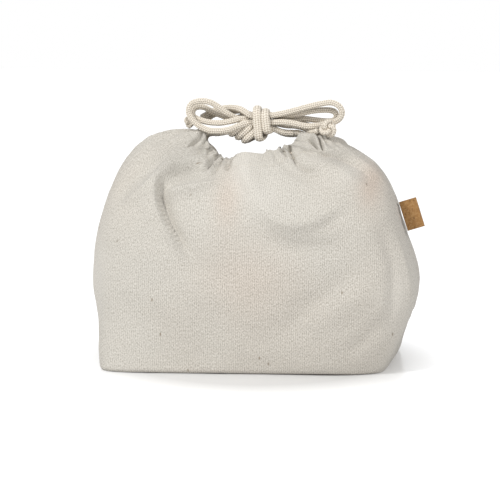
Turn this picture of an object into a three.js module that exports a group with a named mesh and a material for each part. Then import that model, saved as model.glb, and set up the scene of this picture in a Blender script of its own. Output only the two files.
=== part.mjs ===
// A drawstring lunch bag of natural canvas: a boxed body whose sides are drawn in to a gathered mouth, a hem tunnel
// on each side of the mouth, two drawcords that run through both tunnels and are tied in a bow over the opening,
// and a folded cork tag in the right side seam.
// Millimetres, +Z up, front towards -Y, origin under the middle of the base.
import * as THREE from "three";

// Driving dimensions of the canvas body
const leftHalfWidth = 107.6; // widest place of the filled bag, from the middle to the left side seam
const rightHalfWidth = 111;
const halfDepth = 56; // from the middle to the fullest place of the front
const leftShoulderHeight = 155.5; // top of the ridge that the left side seam ends in
const rightShoulderHeight = 152.5;
const mouthHeight = 141; // edge of the mouth at the middle of the front
const canvasThickness = 1.1;
const seamGap = 0.3; // clearance between pieces that touch
const rowsPerLevel = 3; // rows of corners of a panel, in each level of the table below
const panelColumns = 32; // corners of one panel, from seam to seam
const columnEase = 0.02; // how much closer they lie at the seams and at the bag's upright corners

// The body's section at ten levels, each row as shares of the driving dimensions above
const levelShares = [
  { left: 0.933, right: 0.887, rise: 0, depth: 0.893, front: 0, square: 9 },
  { left: 0.931, right: 0.891, rise: 0.04, depth: 0.932, front: 0.043, square: 8.4 },
  { left: 0.946, right: 0.95, rise: 0.195, depth: 0.985, front: 0.213, square: 5.2 },
  { left: 1, right: 1, rise: 0.37, depth: 1, front: 0.405, square: 3.8 },
  { left: 0.972, right: 0.927, rise: 0.57, depth: 0.95, front: 0.62, square: 3.4 },
  { left: 0.898, right: 0.849, rise: 0.74, depth: 0.83, front: 0.76, square: 3 },
  { left: 0.811, right: 0.761, rise: 0.862, depth: 0.67, front: 0.865, square: 2.6 },
  { left: 0.697, right: 0.61, rise: 0.945, depth: 0.49, front: 0.935, square: 2.3 },
  { left: 0.556, right: 0.519, rise: 0.985, depth: 0.35, front: 0.973, square: 2.1 },
  { left: 0.412, right: 0.384, rise: 1, depth: 0.232, front: 1, square: 2 },
];
const topLevel = levelShares.length - 1;

// Where each level starts to climb from its dip and where it reaches the ridge, as shares of its half width. The
// mouth's own edge stays low for longer.
const dipShares = { start: 0.2, end: 0.8, leftStart: 0.45, leftEnd: 0.85, rightStart: 0.34, rightEnd: 0.8 };
const dipFromLevel = 6;

// Main folds of the canvas
const foldHeight = 2.4;
const foldWidth = 7;
const foldTopLevels = [5.9, 7.2]; // between these the folds fade out below the hem tunnels
const foldBaseLevels = [1, 1.8];
const foldSeamShares = [0.06, 0.3]; // and between these towards the side seams

// Each fold's height and width as shares of the two above, less than zero for a hollow, and its path as pairs of
// turn and level
const foldShares = [
  { height: 1, width: 0.93, path: [[0.74, 4.7], [0.86, 5.2], [0.93, 5.8], [0.95, 6.3], [1.02, 6.8]] },
  { height: -1, width: 1.07, path: [[0.6, 4.6], [0.7, 5.2], [0.79, 5.8], [0.86, 6.4], [0.92, 7.1]] },
  { height: -1.9, width: 0.8, path: [[0.99, 6.3], [0.98, 6], [1, 5.6], [1.03, 5], [1.08, 4.5], [1.14, 4.1], [1.2, 3.8]] },
  { height: 1, width: 0.8, path: [[0.9, 6.2], [0.9, 5.9], [0.93, 5.45], [0.96, 4.9], [1.02, 4.35], [1.09, 3.9]] },
  { height: -1.4, width: 0.86, path: [[0.99, 5.6], [1.04, 5.95], [1.1, 6.3], [1.17, 6.7], [1.23, 7.1]] },
  { height: 1.1, width: 0.8, path: [[1.03, 4.9], [1.06, 5.3], [1.15, 5.55], [1.24, 5.9], [1.38, 6.7]] },
  { height: 1, width: 1, path: [[1.46, 8], [1.54, 6.8], [1.65, 5.6], [1.72, 4.9], [1.81, 4.4], [1.92, 4.3], [2.16, 4.9]] },
  { height: -0.8, width: 1, path: [[1.6, 4.6], [1.7, 4.25], [1.86, 3.9], [2.04, 3.95], [2.19, 4.2], [2.33, 4.6]] },
  { height: -1.4, width: 0.7, path: [[2.01, 8], [1.97, 7.3], [1.99, 6.75], [2.03, 6.3], [2.12, 6], [2.2, 5.9]] },
  { height: 1.1, width: 1, path: [[2.1, 6.9], [2.17, 6.65], [2.25, 6.4], [2.35, 6.2], [2.41, 5.7], [2.4, 5.3]] },
  { height: -0.9, width: 0.86, path: [[2.2, 7.4], [2.29, 6.9], [2.4, 6.45], [2.47, 6], [2.7, 5.6], [2.98, 5.2]] },
  { height: -0.8, width: 0.8, path: [[2.47, 4.6], [2.45, 4.1], [2.47, 3.7], [2.41, 2.9], [2.4, 2.2], [2.4, 1.4]] },
  { height: -0.6, width: 1.3, path: [[2.3, 3.7], [2.21, 3.45], [1.99, 2.8], [1.8, 2], [1.53, 1.5]] },
  { height: 0.6, width: 1.15, path: [[2.32, 3.3], [2.25, 3.1], [2.06, 2.45], [1.9, 1.8]] },
  { height: -1.3, width: 0.8, path: [[3.65, 7.8], [3.6, 6.7], [3.56, 5.7], [3.5, 4.6]] },
  { height: 0.8, width: 0.9, path: [[3.83, 7.8], [3.8, 6.7], [3.76, 5.7], [3.7, 4.6]] },
  { height: -1.5, width: 0.75, path: [[4.25, 7.8], [4.22, 6.7], [4.14, 5.6], [4.05, 4.6]] },
  { height: 0.9, width: 0.9, path: [[4.42, 7.8], [4.4, 6.7], [4.34, 5.6], [4.28, 4.8]] },
  { height: -1.4, width: 0.8, path: [[4.9, 7.8], [4.93, 6.8], [4.98, 5.6], [5.06, 4.4]] },
  { height: 0.9, width: 0.9, path: [[5.08, 7.8], [5.12, 6.8], [5.2, 5.7], [5.3, 4.6]] },
  { height: -1.3, width: 0.8, path: [[5.5, 7.8], [5.55, 6.7], [5.63, 5.6], [5.75, 4.6]] },
  { height: 0.8, width: 1.3, path: [[4.1, 5.6], [4.4, 4.7], [4.9, 4.4], [5.3, 4.9]] },
  { height: -0.8, width: 1.15, path: [[4, 4.7], [4.4, 3.9], [4.9, 3.7], [5.4, 4.2]] },
  { height: -0.6, width: 1.3, path: [[3.8, 3.2], [4.2, 2.4], [4.7, 1.8]] },
  { height: 0.6, width: 1.3, path: [[5.6, 3.6], [5.2, 2.9], [4.9, 2]] },
];

// Hem tunnels and seam bindings
const tunnelHalfLength = 20; // along the bag's width
const tunnelTop = 1.2; // from the mouth's edge down the wall
const tunnelDepth = 13.5;
const tunnelBulge = 5.4;
const facingThickness = 0.8;
const bindingWidth = 8;
const bindingThickness = 0.8;
const bindingLowRow = 4; // its ends, in rows of the panel
const bindingHighRow = 23;
const baseFlatness = 0.03; // a corner of the base that stands out less than this is left out
const baseBindingLow = 1.9;
const baseBindingHigh = 8.4;

// Drawcords
const cordDiameter = 3.6;
const cordSides = 8;
const strandStep = 8.6; // length of one facet along a free strand
const runStep = 6.4; // and along a run that a tunnel holds
const laneGap = 0.5; // between the two cords that share a tunnel
const upperLane = tunnelTop + 3.6; // middle of the upper cord, from the mouth's edge down the wall
const lowerLane = upperLane + cordDiameter + laneGap;
const turnStart = 21.5; // half width at which a run leaves its lane to go round the end of the mouth
const turnReach = 9; // how far it then goes outwards
const faceGap = 0.3; // between the end faces of two stretches of one cord

// Cork tag
const tagLevel = 4.43; // middle of the tag on the right side seam
const tagReach = 11.2;
const tagHeight = 20;
const corkThickness = 0.75;
const tagFoldGap = 0.4;

const canvas = new THREE.MeshStandardMaterial({ color: 0xd9d5cb, roughness: 0.95, metalness: 0 });
const cotton = new THREE.MeshStandardMaterial({ color: 0xe0d6c4, roughness: 0.9, metalness: 0 });
const tape = new THREE.MeshStandardMaterial({ color: 0xe6e1d5, roughness: 0.9, metalness: 0 });
const cork = new THREE.MeshStandardMaterial({ color: 0xc08a4a, roughness: 0.8, metalness: 0 });

// A value of the level table between its rows, on a smooth curve through them.
function shareAt(name, level) {
  const first = Math.min(Math.max(Math.floor(level), 0), topLevel - 1);
  const t = level - first;
  const row = (i) => levelShares[Math.min(Math.max(i, 0), topLevel)][name];
  const [a, b, c, d] = [row(first - 1), row(first), row(first + 1), row(first + 2)];
  const slopeB = (c - a) / 2;
  const slopeC = (d - b) / 2;
  const t2 = t * t;
  const t3 = t2 * t;
  return (2 * t3 - 3 * t2 + 1) * b + (t3 - 2 * t2 + t) * slopeB + (3 * t2 - 2 * t3) * c + (t3 - t2) * slopeC;
}

// A point of the canvas's outer face without its folds. The turn goes round the bag: 0 at the left seam, a quarter at the middle of
// the front, a half at the right seam.
function plainPoint(turn, level) {
  const across = -Math.cos(turn);
  const along = -Math.sin(turn);
  const square = shareAt("square", level);
  const reach = (Math.abs(across) ** square + Math.abs(along) ** square) ** (-1 / square);
  const onLeft = across < 0;
  const halfWidth = onLeft ? leftHalfWidth * shareAt("left", level) : rightHalfWidth * shareAt("right", level);
  const shoulder = onLeft ? leftShoulderHeight : rightShoulderHeight;
  const blend = THREE.MathUtils.smoothstep(level, dipFromLevel, topLevel);
  const start = THREE.MathUtils.lerp(dipShares.start, onLeft ? dipShares.leftStart : dipShares.rightStart, blend);
  const end = THREE.MathUtils.lerp(dipShares.end, onLeft ? dipShares.leftEnd : dipShares.rightEnd, blend);
  const climb = THREE.MathUtils.smoothstep(Math.abs(across * reach), start, end);
  const low = mouthHeight * shareAt("front", level);
  const high = shoulder * shareAt("rise", level);
  return new THREE.Vector3(
    across * reach * halfWidth,
    along * reach * halfDepth * shareAt("depth", level),
    low + (high - low) * climb,
  );
}

// The outward direction of a face, from two short steps along it.
function outwardOf(pointOf, turn, level) {
  const step = 0.02;
  const low = Math.max(level - step, 0);
  const high = Math.min(level + step, topLevel);
  const round = pointOf(turn + step, level).sub(pointOf(turn - step, level));
  const up = pointOf(turn, high).sub(pointOf(turn, low));
  return round.cross(up).normalize();
}

const foldLines = foldShares.map(({ path }) => {
  const steps = 4 * (path.length - 1);
  const curve = new THREE.CatmullRomCurve3(path.map(([turn, level]) => new THREE.Vector3(turn, level, 0)));
  return Array.from({ length: steps + 1 }, (_, i) => {
    const at = curve.getPoint(i / steps);
    return plainPoint(at.x, at.y);
  });
});

// How far the folds lift the canvas at a point of its plain face. A fold is highest at its middle and fades out
// towards its sides and ends.
function foldLift(point) {
  const nearest = new THREE.Vector3();
  const segment = new THREE.Line3();
  return foldLines.reduce((sum, line, f) => {
    const { height, width } = foldShares[f];
    let least = Infinity;
    let share = 0;
    for (let i = 0; i < line.length - 1; i++) {
      segment.set(line[i], line[i + 1]);
      const t = segment.closestPointToPointParameter(point, true);
      const distance = segment.at(t, nearest).distanceTo(point);
      if (distance < least) {
        least = distance;
        share = (i + t) / (line.length - 1);
      }
    }
    const fade = THREE.MathUtils.smoothstep(share, 0, 0.3) * THREE.MathUtils.smoothstep(1 - share, 0, 0.4);
    return sum + foldHeight * height * fade * Math.exp(-((least / (foldWidth * width)) ** 2));
  }, 0);
}

function bagPoint(turn, level) {
  const point = plainPoint(turn, level);
  const calm =
    THREE.MathUtils.smoothstep(level, ...foldBaseLevels) *
    (1 - THREE.MathUtils.smoothstep(level, ...foldTopLevels)) *
    THREE.MathUtils.smoothstep(Math.abs(Math.sin(turn)), ...foldSeamShares);
  return point.addScaledVector(outwardOf(plainPoint, turn, level), calm * foldLift(point));
}

function bagNormal(turn, level) {
  return outwardOf(bagPoint, turn, level);
}

// The turn of one column of corners, counted from the left seam round the front.
function columnTurn(column) {
  const share = column / panelColumns;
  return Math.PI * (share - columnEase * Math.sin(8 * Math.PI * share));
}

function insideBag(turn, level, depth) {
  return bagPoint(turn, level).addScaledVector(bagNormal(turn, level), -depth);
}

// The turn at which the front of the bag is a given distance to the side, at one level.
function turnAt(x, level) {
  const square = shareAt("square", level);
  const halfWidth = x < 0 ? leftHalfWidth * shareAt("left", level) : rightHalfWidth * shareAt("right", level);
  const across = Math.abs(x) / halfWidth;
  const angle = Math.atan2((1 - across ** square) ** (1 / square), across);
  return x < 0 ? angle : Math.PI - angle;
}

// A point inside the front wall, a given distance to the side and a given length down the wall from its edge.
function belowMouth(x, length, depth) {
  const rim = bagPoint(turnAt(x, topLevel), topLevel);
  const span = rim.distanceTo(bagPoint(turnAt(x, topLevel - 1), topLevel - 1));
  const level = topLevel - length / span;
  return insideBag(turnAt(x, level), level, depth);
}

// A closed solid between two faces given as grids of points, rows by columns. A ring joins its last column to its
// first one.
function shell(outer, inner, isRing) {
  const rows = outer.length;
  const columns = outer[0].length;
  const points = [...outer.flat(), ...inner.flat()];
  const offset = rows * columns;
  const faces = [];
  const quad = (a, b, c, d) => faces.push(a, b, c, a, c, d);
  const spans = isRing ? columns : columns - 1;
  for (let r = 0; r < rows - 1; r++) {
    for (let c = 0; c < spans; c++) {
      const next = (c + 1) % columns;
      const [a, b, d, e] = [r * columns + c, r * columns + next, (r + 1) * columns + next, (r + 1) * columns + c];
      quad(a, b, d, e);
      quad(offset + e, offset + d, offset + b, offset + a);
    }
  }
  const top = (rows - 1) * columns;
  for (let c = 0; c < spans; c++) {
    const next = (c + 1) % columns;
    quad(c, offset + c, offset + next, next);
    quad(top + next, offset + top + next, offset + top + c, top + c);
  }
  if (!isRing) {
    const last = columns - 1;
    for (let r = 0; r < rows - 1; r++) {
      const [low, high] = [r * columns, (r + 1) * columns];
      quad(low, high, offset + high, offset + low);
      quad(low + last, offset + low + last, offset + high + last, high + last);
    }
  }
  const geometry = new THREE.BufferGeometry().setFromPoints(points).setIndex(faces);
  geometry.computeVertexNormals();
  return geometry;
}

function grid(rows, columns, pointAt) {
  return Array.from({ length: rows + 1 }, (_, r) =>
    Array.from({ length: columns + 1 }, (_, c) => pointAt(r / rows, c / columns)),
  );
}

// One canvas panel, from the left seam to the right seam, and from the base to the mouth. The back panel is the
// same cut, turned round.
function panel(isBack) {
  const first = isBack ? panelColumns : 0;
  const side = isBack ? 1 : -1;
  const face = (depth) =>
    grid(rowsPerLevel * topLevel, panelColumns, (up, round) => {
      const point = insideBag(columnTurn(first + panelColumns * round), topLevel * up, depth);
      point.y += (side * seamGap) / 2;
      point.z = Math.max(point.z, 0);
      return point;
    });
  return shell(face(0), face(canvasThickness), false);
}

// The base is a flat piece of canvas inside the lower edge of the walls.
function base() {
  const inset = canvasThickness + 2 * seamGap;
  const edge = Array.from({ length: 2 * panelColumns }, (_, i) => {
    const turn = columnTurn(i);
    const normal = bagNormal(turn, 0).setZ(0).normalize();
    const point = bagPoint(turn, 0).addScaledVector(normal, -inset);
    return new THREE.Vector2(point.x, point.y);
  });
  const corners = edge.filter((point, i) => {
    const before = edge[(i + edge.length - 1) % edge.length];
    const toNext = edge[(i + 1) % edge.length].clone().sub(point);
    return Math.abs(point.clone().sub(before).cross(toNext)) > baseFlatness * toNext.length();
  });
  const outline = new THREE.Shape(corners);
  return new THREE.ExtrudeGeometry(outline, { depth: canvasThickness, bevelEnabled: false });
}

// The facing is the folded-in hem: a strip that is sewn to the wall along both edges and stands off it between
// them, so that the cords can run through.
function facing(isBack) {
  const columns = 16;
  const rows = 8;
  const face = (extra) =>
    grid(rows, columns, (up, round) => {
      const x = tunnelHalfLength * (2 * round - 1);
      const stand = tunnelBulge * Math.sin(Math.PI * up) ** 0.5;
      const point = belowMouth(x, tunnelTop + tunnelDepth * (1 - up), canvasThickness + seamGap + stand + extra);
      return isBack ? point.setY(-point.y) : point;
    });
  const outer = face(0);
  const inner = face(facingThickness);
  return isBack ? shell(inner, outer, false) : shell(outer, inner, false);
}

// A tape that covers the raw edges of a side seam on the inside.
function sideBinding(onLeft) {
  const rows = bindingHighRow - bindingLowRow;
  const middle = onLeft ? 0 : Math.PI;
  const face = (depth) =>
    grid(rows, 4, (up, round) => {
      const level = (bindingLowRow + rows * up) / rowsPerLevel;
      const spread = Math.asin(bindingWidth / 2 / (halfDepth * shareAt("depth", level)));
      return insideBag(middle + spread * (2 * round - 1), level, depth);
    });
  const depth = canvasThickness + 1.5 * seamGap;
  return shell(face(depth), face(depth + bindingThickness), false);
}

// The tape round the inside of the base seam.
function baseBinding() {
  const depth = canvasThickness + 2 * seamGap;
  const levelOf = (height) => height / (levelShares[1].front * mouthHeight);
  const face = (extra) =>
    [baseBindingLow, baseBindingHigh].map((height) =>
      Array.from({ length: 2 * panelColumns }, (_, c) => {
        const level = Math.min(levelOf(height), 1 + (height - levelShares[1].front * mouthHeight) / (halfDepth / 2));
        return insideBag(columnTurn(c), level, depth + extra).setZ(height);
      }),
    );
  return shell(face(0), face(bindingThickness), true);
}

// A round cord along a route, as one tube.
function cordTube(route, step) {
  const curve = new THREE.CatmullRomCurve3(route, false, "centripetal");
  curve.arcLengthDivisions = 600;
  const section = new THREE.Shape(
    Array.from({ length: cordSides }, (_, i) => {
      const angle = (2 * Math.PI * i) / cordSides;
      return new THREE.Vector2(Math.cos(angle), Math.sin(angle)).multiplyScalar(cordDiameter / 2);
    }),
  );
  return new THREE.ExtrudeGeometry(section, {
    steps: Math.round(curve.getLength() / step),
    extrudePath: curve,
  });
}

const routeOf = (rows) => rows.map(([x, y, z]) => new THREE.Vector3(x, y, z));

// A run inside one tunnel, in its lane, from the left to the right.
function lane(below, isBack) {
  const count = 6;
  const depth = canvasThickness + seamGap + cordDiameter / 2 + seamGap;
  return Array.from({ length: count + 1 }, (_, i) => {
    const point = belowMouth(turnStart * ((2 * i) / count - 1), below, depth);
    return isBack ? point.setY(-point.y) : point;
  });
}

// The held stretch of a drawcord: out of the bow's side, down into the front tunnel, round the far end of the mouth
// and back through the other tunnel. The left cord has the upper lane, the right cord the lower one.
function heldRun(onLeft, frontEnd, backEnd) {
  const below = onLeft ? upperLane : lowerLane;
  const order = (points) => (onLeft ? points : points.reverse());
  const front = order(lane(below, false));
  const back = order(lane(below, true)).reverse();
  const last = front[front.length - 1];
  const halfTurn = Math.abs(last.y);
  const side = onLeft ? 1 : -1;
  const turnPoints = [-60, -30, 0, 30, 60].map((degrees) => {
    const angle = THREE.MathUtils.degToRad(degrees);
    return new THREE.Vector3(last.x + side * turnReach * Math.cos(angle), halfTurn * Math.sin(angle), last.z);
  });
  return [...routeOf(frontEnd), ...front, ...turnPoints, ...back, ...routeOf(backEnd).reverse()];
}

// A flattened cord wound round a bundle of strands, as one unbroken tube. Each turn follows a rounded rectangle and
// leans along the bundle by its lean times the height.
function winding({ x, y, z, turns, pitch, halfHeight, halfDepth: halfReach, lean, width, thickness, square, start }) {
  const stepsPerTurn = 24;
  const sides = 8;
  const steps = Math.round(turns * stepsPerTurn);
  const rings = [];
  const middles = [];
  for (let i = 0; i <= steps; i++) {
    const angle = start + (2 * Math.PI * i) / stepsPerTurn;
    const reach = (Math.abs(Math.cos(angle)) ** square + Math.abs(Math.sin(angle)) ** square) ** (-1 / square);
    const along = pitch * (i / stepsPerTurn - turns / 2);
    const height = halfHeight * reach * Math.cos(angle);
    const middle = new THREE.Vector3(x + along + lean * height, y - halfReach * reach * Math.sin(angle), z + height);
    const outward = new THREE.Vector3(
      0,
      -Math.sin(angle) * Math.abs(Math.sin(angle)) ** (square - 2),
      Math.cos(angle) * Math.abs(Math.cos(angle)) ** (square - 2),
    ).normalize();
    middles.push(middle);
    rings.push(
      Array.from({ length: sides }, (_, s) => {
        const around = (2 * Math.PI * s) / sides;
        return middle
          .clone()
          .addScaledVector(outward, (thickness / 2) * Math.cos(around))
          .add(new THREE.Vector3((width / 2) * Math.sin(around), 0, 0));
      }),
    );
  }
  let leastGap = Infinity;
  for (let i = 0; i + stepsPerTurn <= steps; i++) {
    leastGap = Math.min(leastGap, Math.abs(middles[i].x - middles[i + stepsPerTurn].x) - width);
  }
  if (turns > 1) console.log("least gap between the turns of a winding: " + leastGap.toFixed(2) + " mm");
  return tubeOfRings(rings);
}

function tubeOfRings(rings) {
  const sides = rings[0].length;
  const faces = [];
  for (let r = 0; r < rings.length - 1; r++) {
    for (let s = 0; s < sides; s++) {
      const next = (s + 1) % sides;
      const [a, b] = [r * sides + s, r * sides + next];
      faces.push(a, a + sides, b, b, a + sides, b + sides);
    }
  }
  const last = (rings.length - 1) * sides;
  for (let s = 1; s < sides - 1; s++) {
    faces.push(0, s, s + 1, last, last + s + 1, last + s);
  }
  const geometry = new THREE.BufferGeometry().setFromPoints(rings.flat()).setIndex(faces);
  geometry.computeVertexNormals();
  return geometry;
}

// A stopper knot: the doubled cord end drawn up in an overhand knot, as a three-lobed closed tube.
function stopperKnot() {
  const knot = new THREE.TorusKnotGeometry(stopperRadius, stopperCord / 2, 60, 6, 2, 3);
  knot.deleteAttribute("normal");
  knot.deleteAttribute("uv");
  return knot.rotateX(stopperLean);
}

// The folded cork tag, seen from above: two leaves that join in a fold at the outer end and in the sewn edge at the
// root, whose half-round edge turns in the seam.
function tagProfile() {
  const half = tagFoldGap / 2 + corkThickness;
  const inner = tagFoldGap / 2;
  const rootLength = 2 * corkThickness;
  const outline = new THREE.Shape();
  outline.absarc(0, 0, half, Math.PI / 2, -Math.PI / 2, false);
  outline.absarc(tagReach - half, 0, half, -Math.PI / 2, Math.PI / 2, false);
  const slot = new THREE.Path();
  slot.moveTo(rootLength, -inner);
  slot.absarc(tagReach - half, 0, inner, -Math.PI / 2, Math.PI / 2, false);
  slot.lineTo(rootLength, inner);
  outline.holes.push(slot);
  return outline;
}

function tag() {
  const half = tagFoldGap / 2 + corkThickness;
  const geometry = new THREE.ExtrudeGeometry(tagProfile(), {
    depth: tagHeight,
    bevelEnabled: false,
    curveSegments: 6,
  });
  geometry.translate(0, 0, -tagHeight / 2);
  const mesh = new THREE.Mesh(geometry, cork);
  const span = bagPoint(Math.PI, tagLevel + 0.5).distanceTo(bagPoint(Math.PI, tagLevel - 0.5));
  const reach = tagHeight / 2 / span;
  const top = bagPoint(Math.PI, tagLevel + reach);
  const bottom = bagPoint(Math.PI, tagLevel - reach);
  const middle = bagPoint(Math.PI, tagLevel);
  const lean = Math.atan2(top.x - bottom.x, top.z - bottom.z);
  const outward = new THREE.Vector3(Math.cos(lean), 0, -Math.sin(lean));
  const swell = middle.clone().sub(top).dot(outward);
  const root = top.clone().add(bottom).multiplyScalar(0.5);
  root.addScaledVector(outward, Math.max(swell, 0) + seamGap + half);
  mesh.position.copy(root);
  mesh.rotation.y = lean;
  return mesh;
}

// Free strands, as routes chosen on the tied bow. The bow strands run from one stopper knot through both loops of
// their side and back into the knot, the carry strands from slit to slit through it.
const bowStrandFront = [
  [-36.8, 3.2, 162.4], [-33, 4.6, 164.6], [-28.4, 5, 167.1], [-21.8, 2.8, 169], [-15.1, -0.2, 169.8],
  [-8.5, -3.6, 168.9], [-1, -6.35, 165], [4.4, -6.35, 165], [10.5, -6.35, 165], [16.3, -6.9, 166],
  [23.8, -7.7, 167.7], [35.8, -8.6, 171.1], [46.1, -9.5, 173.6], [53, -10, 174.3], [57.9, -10.5, 171.8],
  [59.6, -10.4, 167.8], [58, -9.6, 163.9], [54, -8.2, 161.4], [49.4, -7, 160], [43.4, -6.3, 158.9], [38, -7, 158.5],
  [33, -7.3, 159], [28, -7.2, 160.1], [21, -6.8, 160.9], [10.5, -6.35, 160.65], [4.4, -6.35, 160.65],
  [-1.8, -6.5, 160.1], [-4.9, -8.5, 159.7], [-9.4, -10.9, 158.3], [-15.4, -11.4, 156], [-22.2, -11.4, 155],
  [-29, -11.2, 155.4], [-35.2, -10.6, 158], [-40.1, -10, 162.3], [-42.7, -9.5, 167.3], [-41.2, -9, 172.3],
  [-35.5, -8.6, 174.5], [-28.5, -8.2, 173.7], [-23.2, -7.2, 170.7], [-18, -5.8, 166.7], [-12.6, -3.4, 163.4],
  [-7.4, -1.2, 161.7], [-4.2, 0.7, 160.9], [-1, 2.35, 160.65], [4.4, 2.35, 160.65], [10.5, 2.35, 160.65],
  [15.7, 2, 159.2], [21.5, 1.6, 158.2], [28, 0.8, 157.9], [33.6, -1.8, 156.8], [37.8, -5.1, 154.8], [41, -8.6, 154.6],
  [43.6, -11.6, 156],
];
const bowStrandBack = [
  [-38.6, 5.8, 160.4], [-33.4, 8.6, 161.6], [-29.1, 9, 164.1], [-22.5, 7.2, 165.9], [-15.9, 4.6, 166.7],
  [-9.2, 0.9, 167.5], [-1, -2, 165], [4.4, -2, 165], [10.5, -2, 165], [15.7, -2.4, 165.1], [23.3, -3.2, 165.4],
  [31.4, -3.6, 166.6], [38.8, -4, 168.1], [45.6, -4.4, 168.7], [51.3, -4.8, 168], [55, -4.8, 165.9],
  [54.4, -3.8, 163.3], [50, -1.6, 162.4], [41.7, 0.2, 162.2], [31.5, 0.9, 162.9], [22.9, 0.2, 162.4],
  [15.6, -1.4, 161.2], [10.5, -2, 160.65], [4.4, -2, 160.65], [-1, -2.2, 160.9], [-7.4, -5.7, 162.8],
  [-13.8, -8.5, 161.4], [-21.9, -8.8, 160.1], [-31, -7.4, 160.6], [-36.8, -5.4, 162.9], [-40.1, -3.4, 166.4],
  [-39.4, -1, 169.3], [-34.4, 0.4, 169.2], [-28.6, 0.8, 166.6], [-22.2, 1.2, 164.3], [-15.8, 1.8, 162.3],
  [-9.5, 3.9, 163.3], [-5.2, 3.4, 164.6], [-1, 2.35, 165], [4.4, 2.35, 165], [10.5, 2.35, 165], [15.4, 5, 163.2],
  [22, 5.6, 161.2], [29, 4.6, 159.8], [35, 1.8, 158.6], [39.6, -1.7, 157.2], [43, -4.2, 154.8],
  [46.4, -8.2, 154.3],
];
const carryStrandFront = [
  [-27, -2, 153.6], [-25.6, -2, 153.6], [-21.8, -2.6, 153.7], [-17, -3.1, 153.8], [-10, -3.4, 153.7],
  [-5.6, -3.8, 153.9], [-2.2, -4, 155.3], [1.2, -4.2, 156.8], [5, -4.2, 156.9], [10.5, -4.2, 156.9],
  [14.5, -3.8, 155.8], [18.5, -3, 154.3], [22, -2.2, 153.7], [25.6, -2, 153.6], [27, -2, 153.6],
];
const carryStrandBack = [
  [-27, 2, 152.2], [-25.6, 2, 152.2], [-21.4, 1.8, 152.8], [-17, 1.3, 153.7], [-10, 0.9, 153.7], [-5.6, 0.5, 153.9],
  [-2.2, 0.3, 155.3], [1.2, 0.2, 156.8], [5, 0.2, 156.9], [10.5, 0.2, 156.9], [14.6, 0.8, 155.2], [18.5, 1.6, 153.2],
  [22, 2, 152.3], [25.6, 2, 152.2], [27, 2, 152.2],
];

// The ends of the held runs, from the bow's side down into the tunnels.
const leftFrontEnd = [
  [-27 - faceGap, -2, 153.6], [-29.2, -2, 153.6], [-33, -2.4, 152.6], [-35.4, -3.6, 149.8], [-34, -4.2, 146],
  [-29.2, -5.8, 141],
];
const leftBackEnd = [
  [-27 - faceGap, 2, 152.2], [-29, 2, 152.2], [-32.2, 2.6, 151], [-34, 3.8, 148.4], [-33.2, 4.4, 145],
  [-29, 5.9, 140.6],
];
const rightFrontEnd = [
  [27 + faceGap, -2, 153.6], [29.2, -2, 153.6], [33.2, -2.5, 152.4], [36, -3.6, 149], [36, -5.6, 145.2],
  [33.2, -9.4, 141.8], [28, -14.2, 137.8],
];
const rightBackEnd = [
  [27 + faceGap, 2, 152.2], [29.2, 2, 152.2], [33, 2.8, 150.8], [35, 4.2, 147.8], [34.8, 6.6, 144.6],
  [32.2, 10.4, 141.4], [28, 14.2, 138],
];

const bowWrap = {
  x: 4.5, y: -2, z: 160.95, turns: 2, pitch: 6.1, halfHeight: 8.1, halfDepth: 8.3, lean: 0, width: 5.5, thickness: 3,
  square: 5, start: 1.5 * Math.PI,
};
const halfKnot = {
  x: -12.4, y: -1, z: 153.8, turns: 2, pitch: 5.7, halfHeight: 4.1, halfDepth: 6.1, lean: 0.7, width: 5,
  thickness: 3, square: 2.6, start: 1.5 * Math.PI,
};
const stopperRadius = 3.15;
const stopperCord = 2.9;
const leftStopperPlace = [-43.2, 2.2, 161.9];
const rightStopperPlace = [50.8, -12.5, 155.2];
const stopperLean = THREE.MathUtils.degToRad(75); // of a stopper knot's flat side, which faces the front

function named(name, geometry, material, place = [0, 0, 0]) {
  const mesh = new THREE.Mesh(geometry, material);
  mesh.name = name;
  mesh.position.set(...place);
  return mesh;
}

const lunchBag = new THREE.Group();
lunchBag.add(named("front_panel", panel(false), canvas));
lunchBag.add(named("back_panel", panel(true), canvas));
lunchBag.add(named("base_panel", base(), canvas));
lunchBag.add(named("front_hem_facing", facing(false), canvas));
lunchBag.add(named("back_hem_facing", facing(true), canvas));
lunchBag.add(named("left_seam_binding", sideBinding(true), tape));
lunchBag.add(named("right_seam_binding", sideBinding(false), tape));
lunchBag.add(named("base_seam_binding", baseBinding(), tape));

const corkTag = tag();
corkTag.name = "cork_tag";
lunchBag.add(corkTag);

lunchBag.add(named("left_drawcord_run", cordTube(heldRun(true, leftFrontEnd, leftBackEnd), runStep), cotton));
lunchBag.add(named("right_drawcord_run", cordTube(heldRun(false, rightFrontEnd, rightBackEnd), runStep), cotton));

const bow = new THREE.Group();
bow.add(named("front_carry_strand", cordTube(routeOf(carryStrandFront), strandStep), cotton));
bow.add(named("back_carry_strand", cordTube(routeOf(carryStrandBack), strandStep), cotton));
bow.add(named("front_bow_strand", cordTube(routeOf(bowStrandFront), strandStep), cotton));
bow.add(named("back_bow_strand", cordTube(routeOf(bowStrandBack), strandStep), cotton));
bow.add(named("bow_wrap", winding(bowWrap), cotton));
bow.add(named("half_knot", winding(halfKnot), cotton));
bow.add(named("left_stopper_knot", stopperKnot(), cotton, leftStopperPlace));
bow.add(named("right_stopper_knot", stopperKnot(), cotton, rightStopperPlace));
lunchBag.add(bow);

export default lunchBag;
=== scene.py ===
import math
import bmesh
import bpy
import numpy as np
from mathutils import Matrix, Vector


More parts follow.
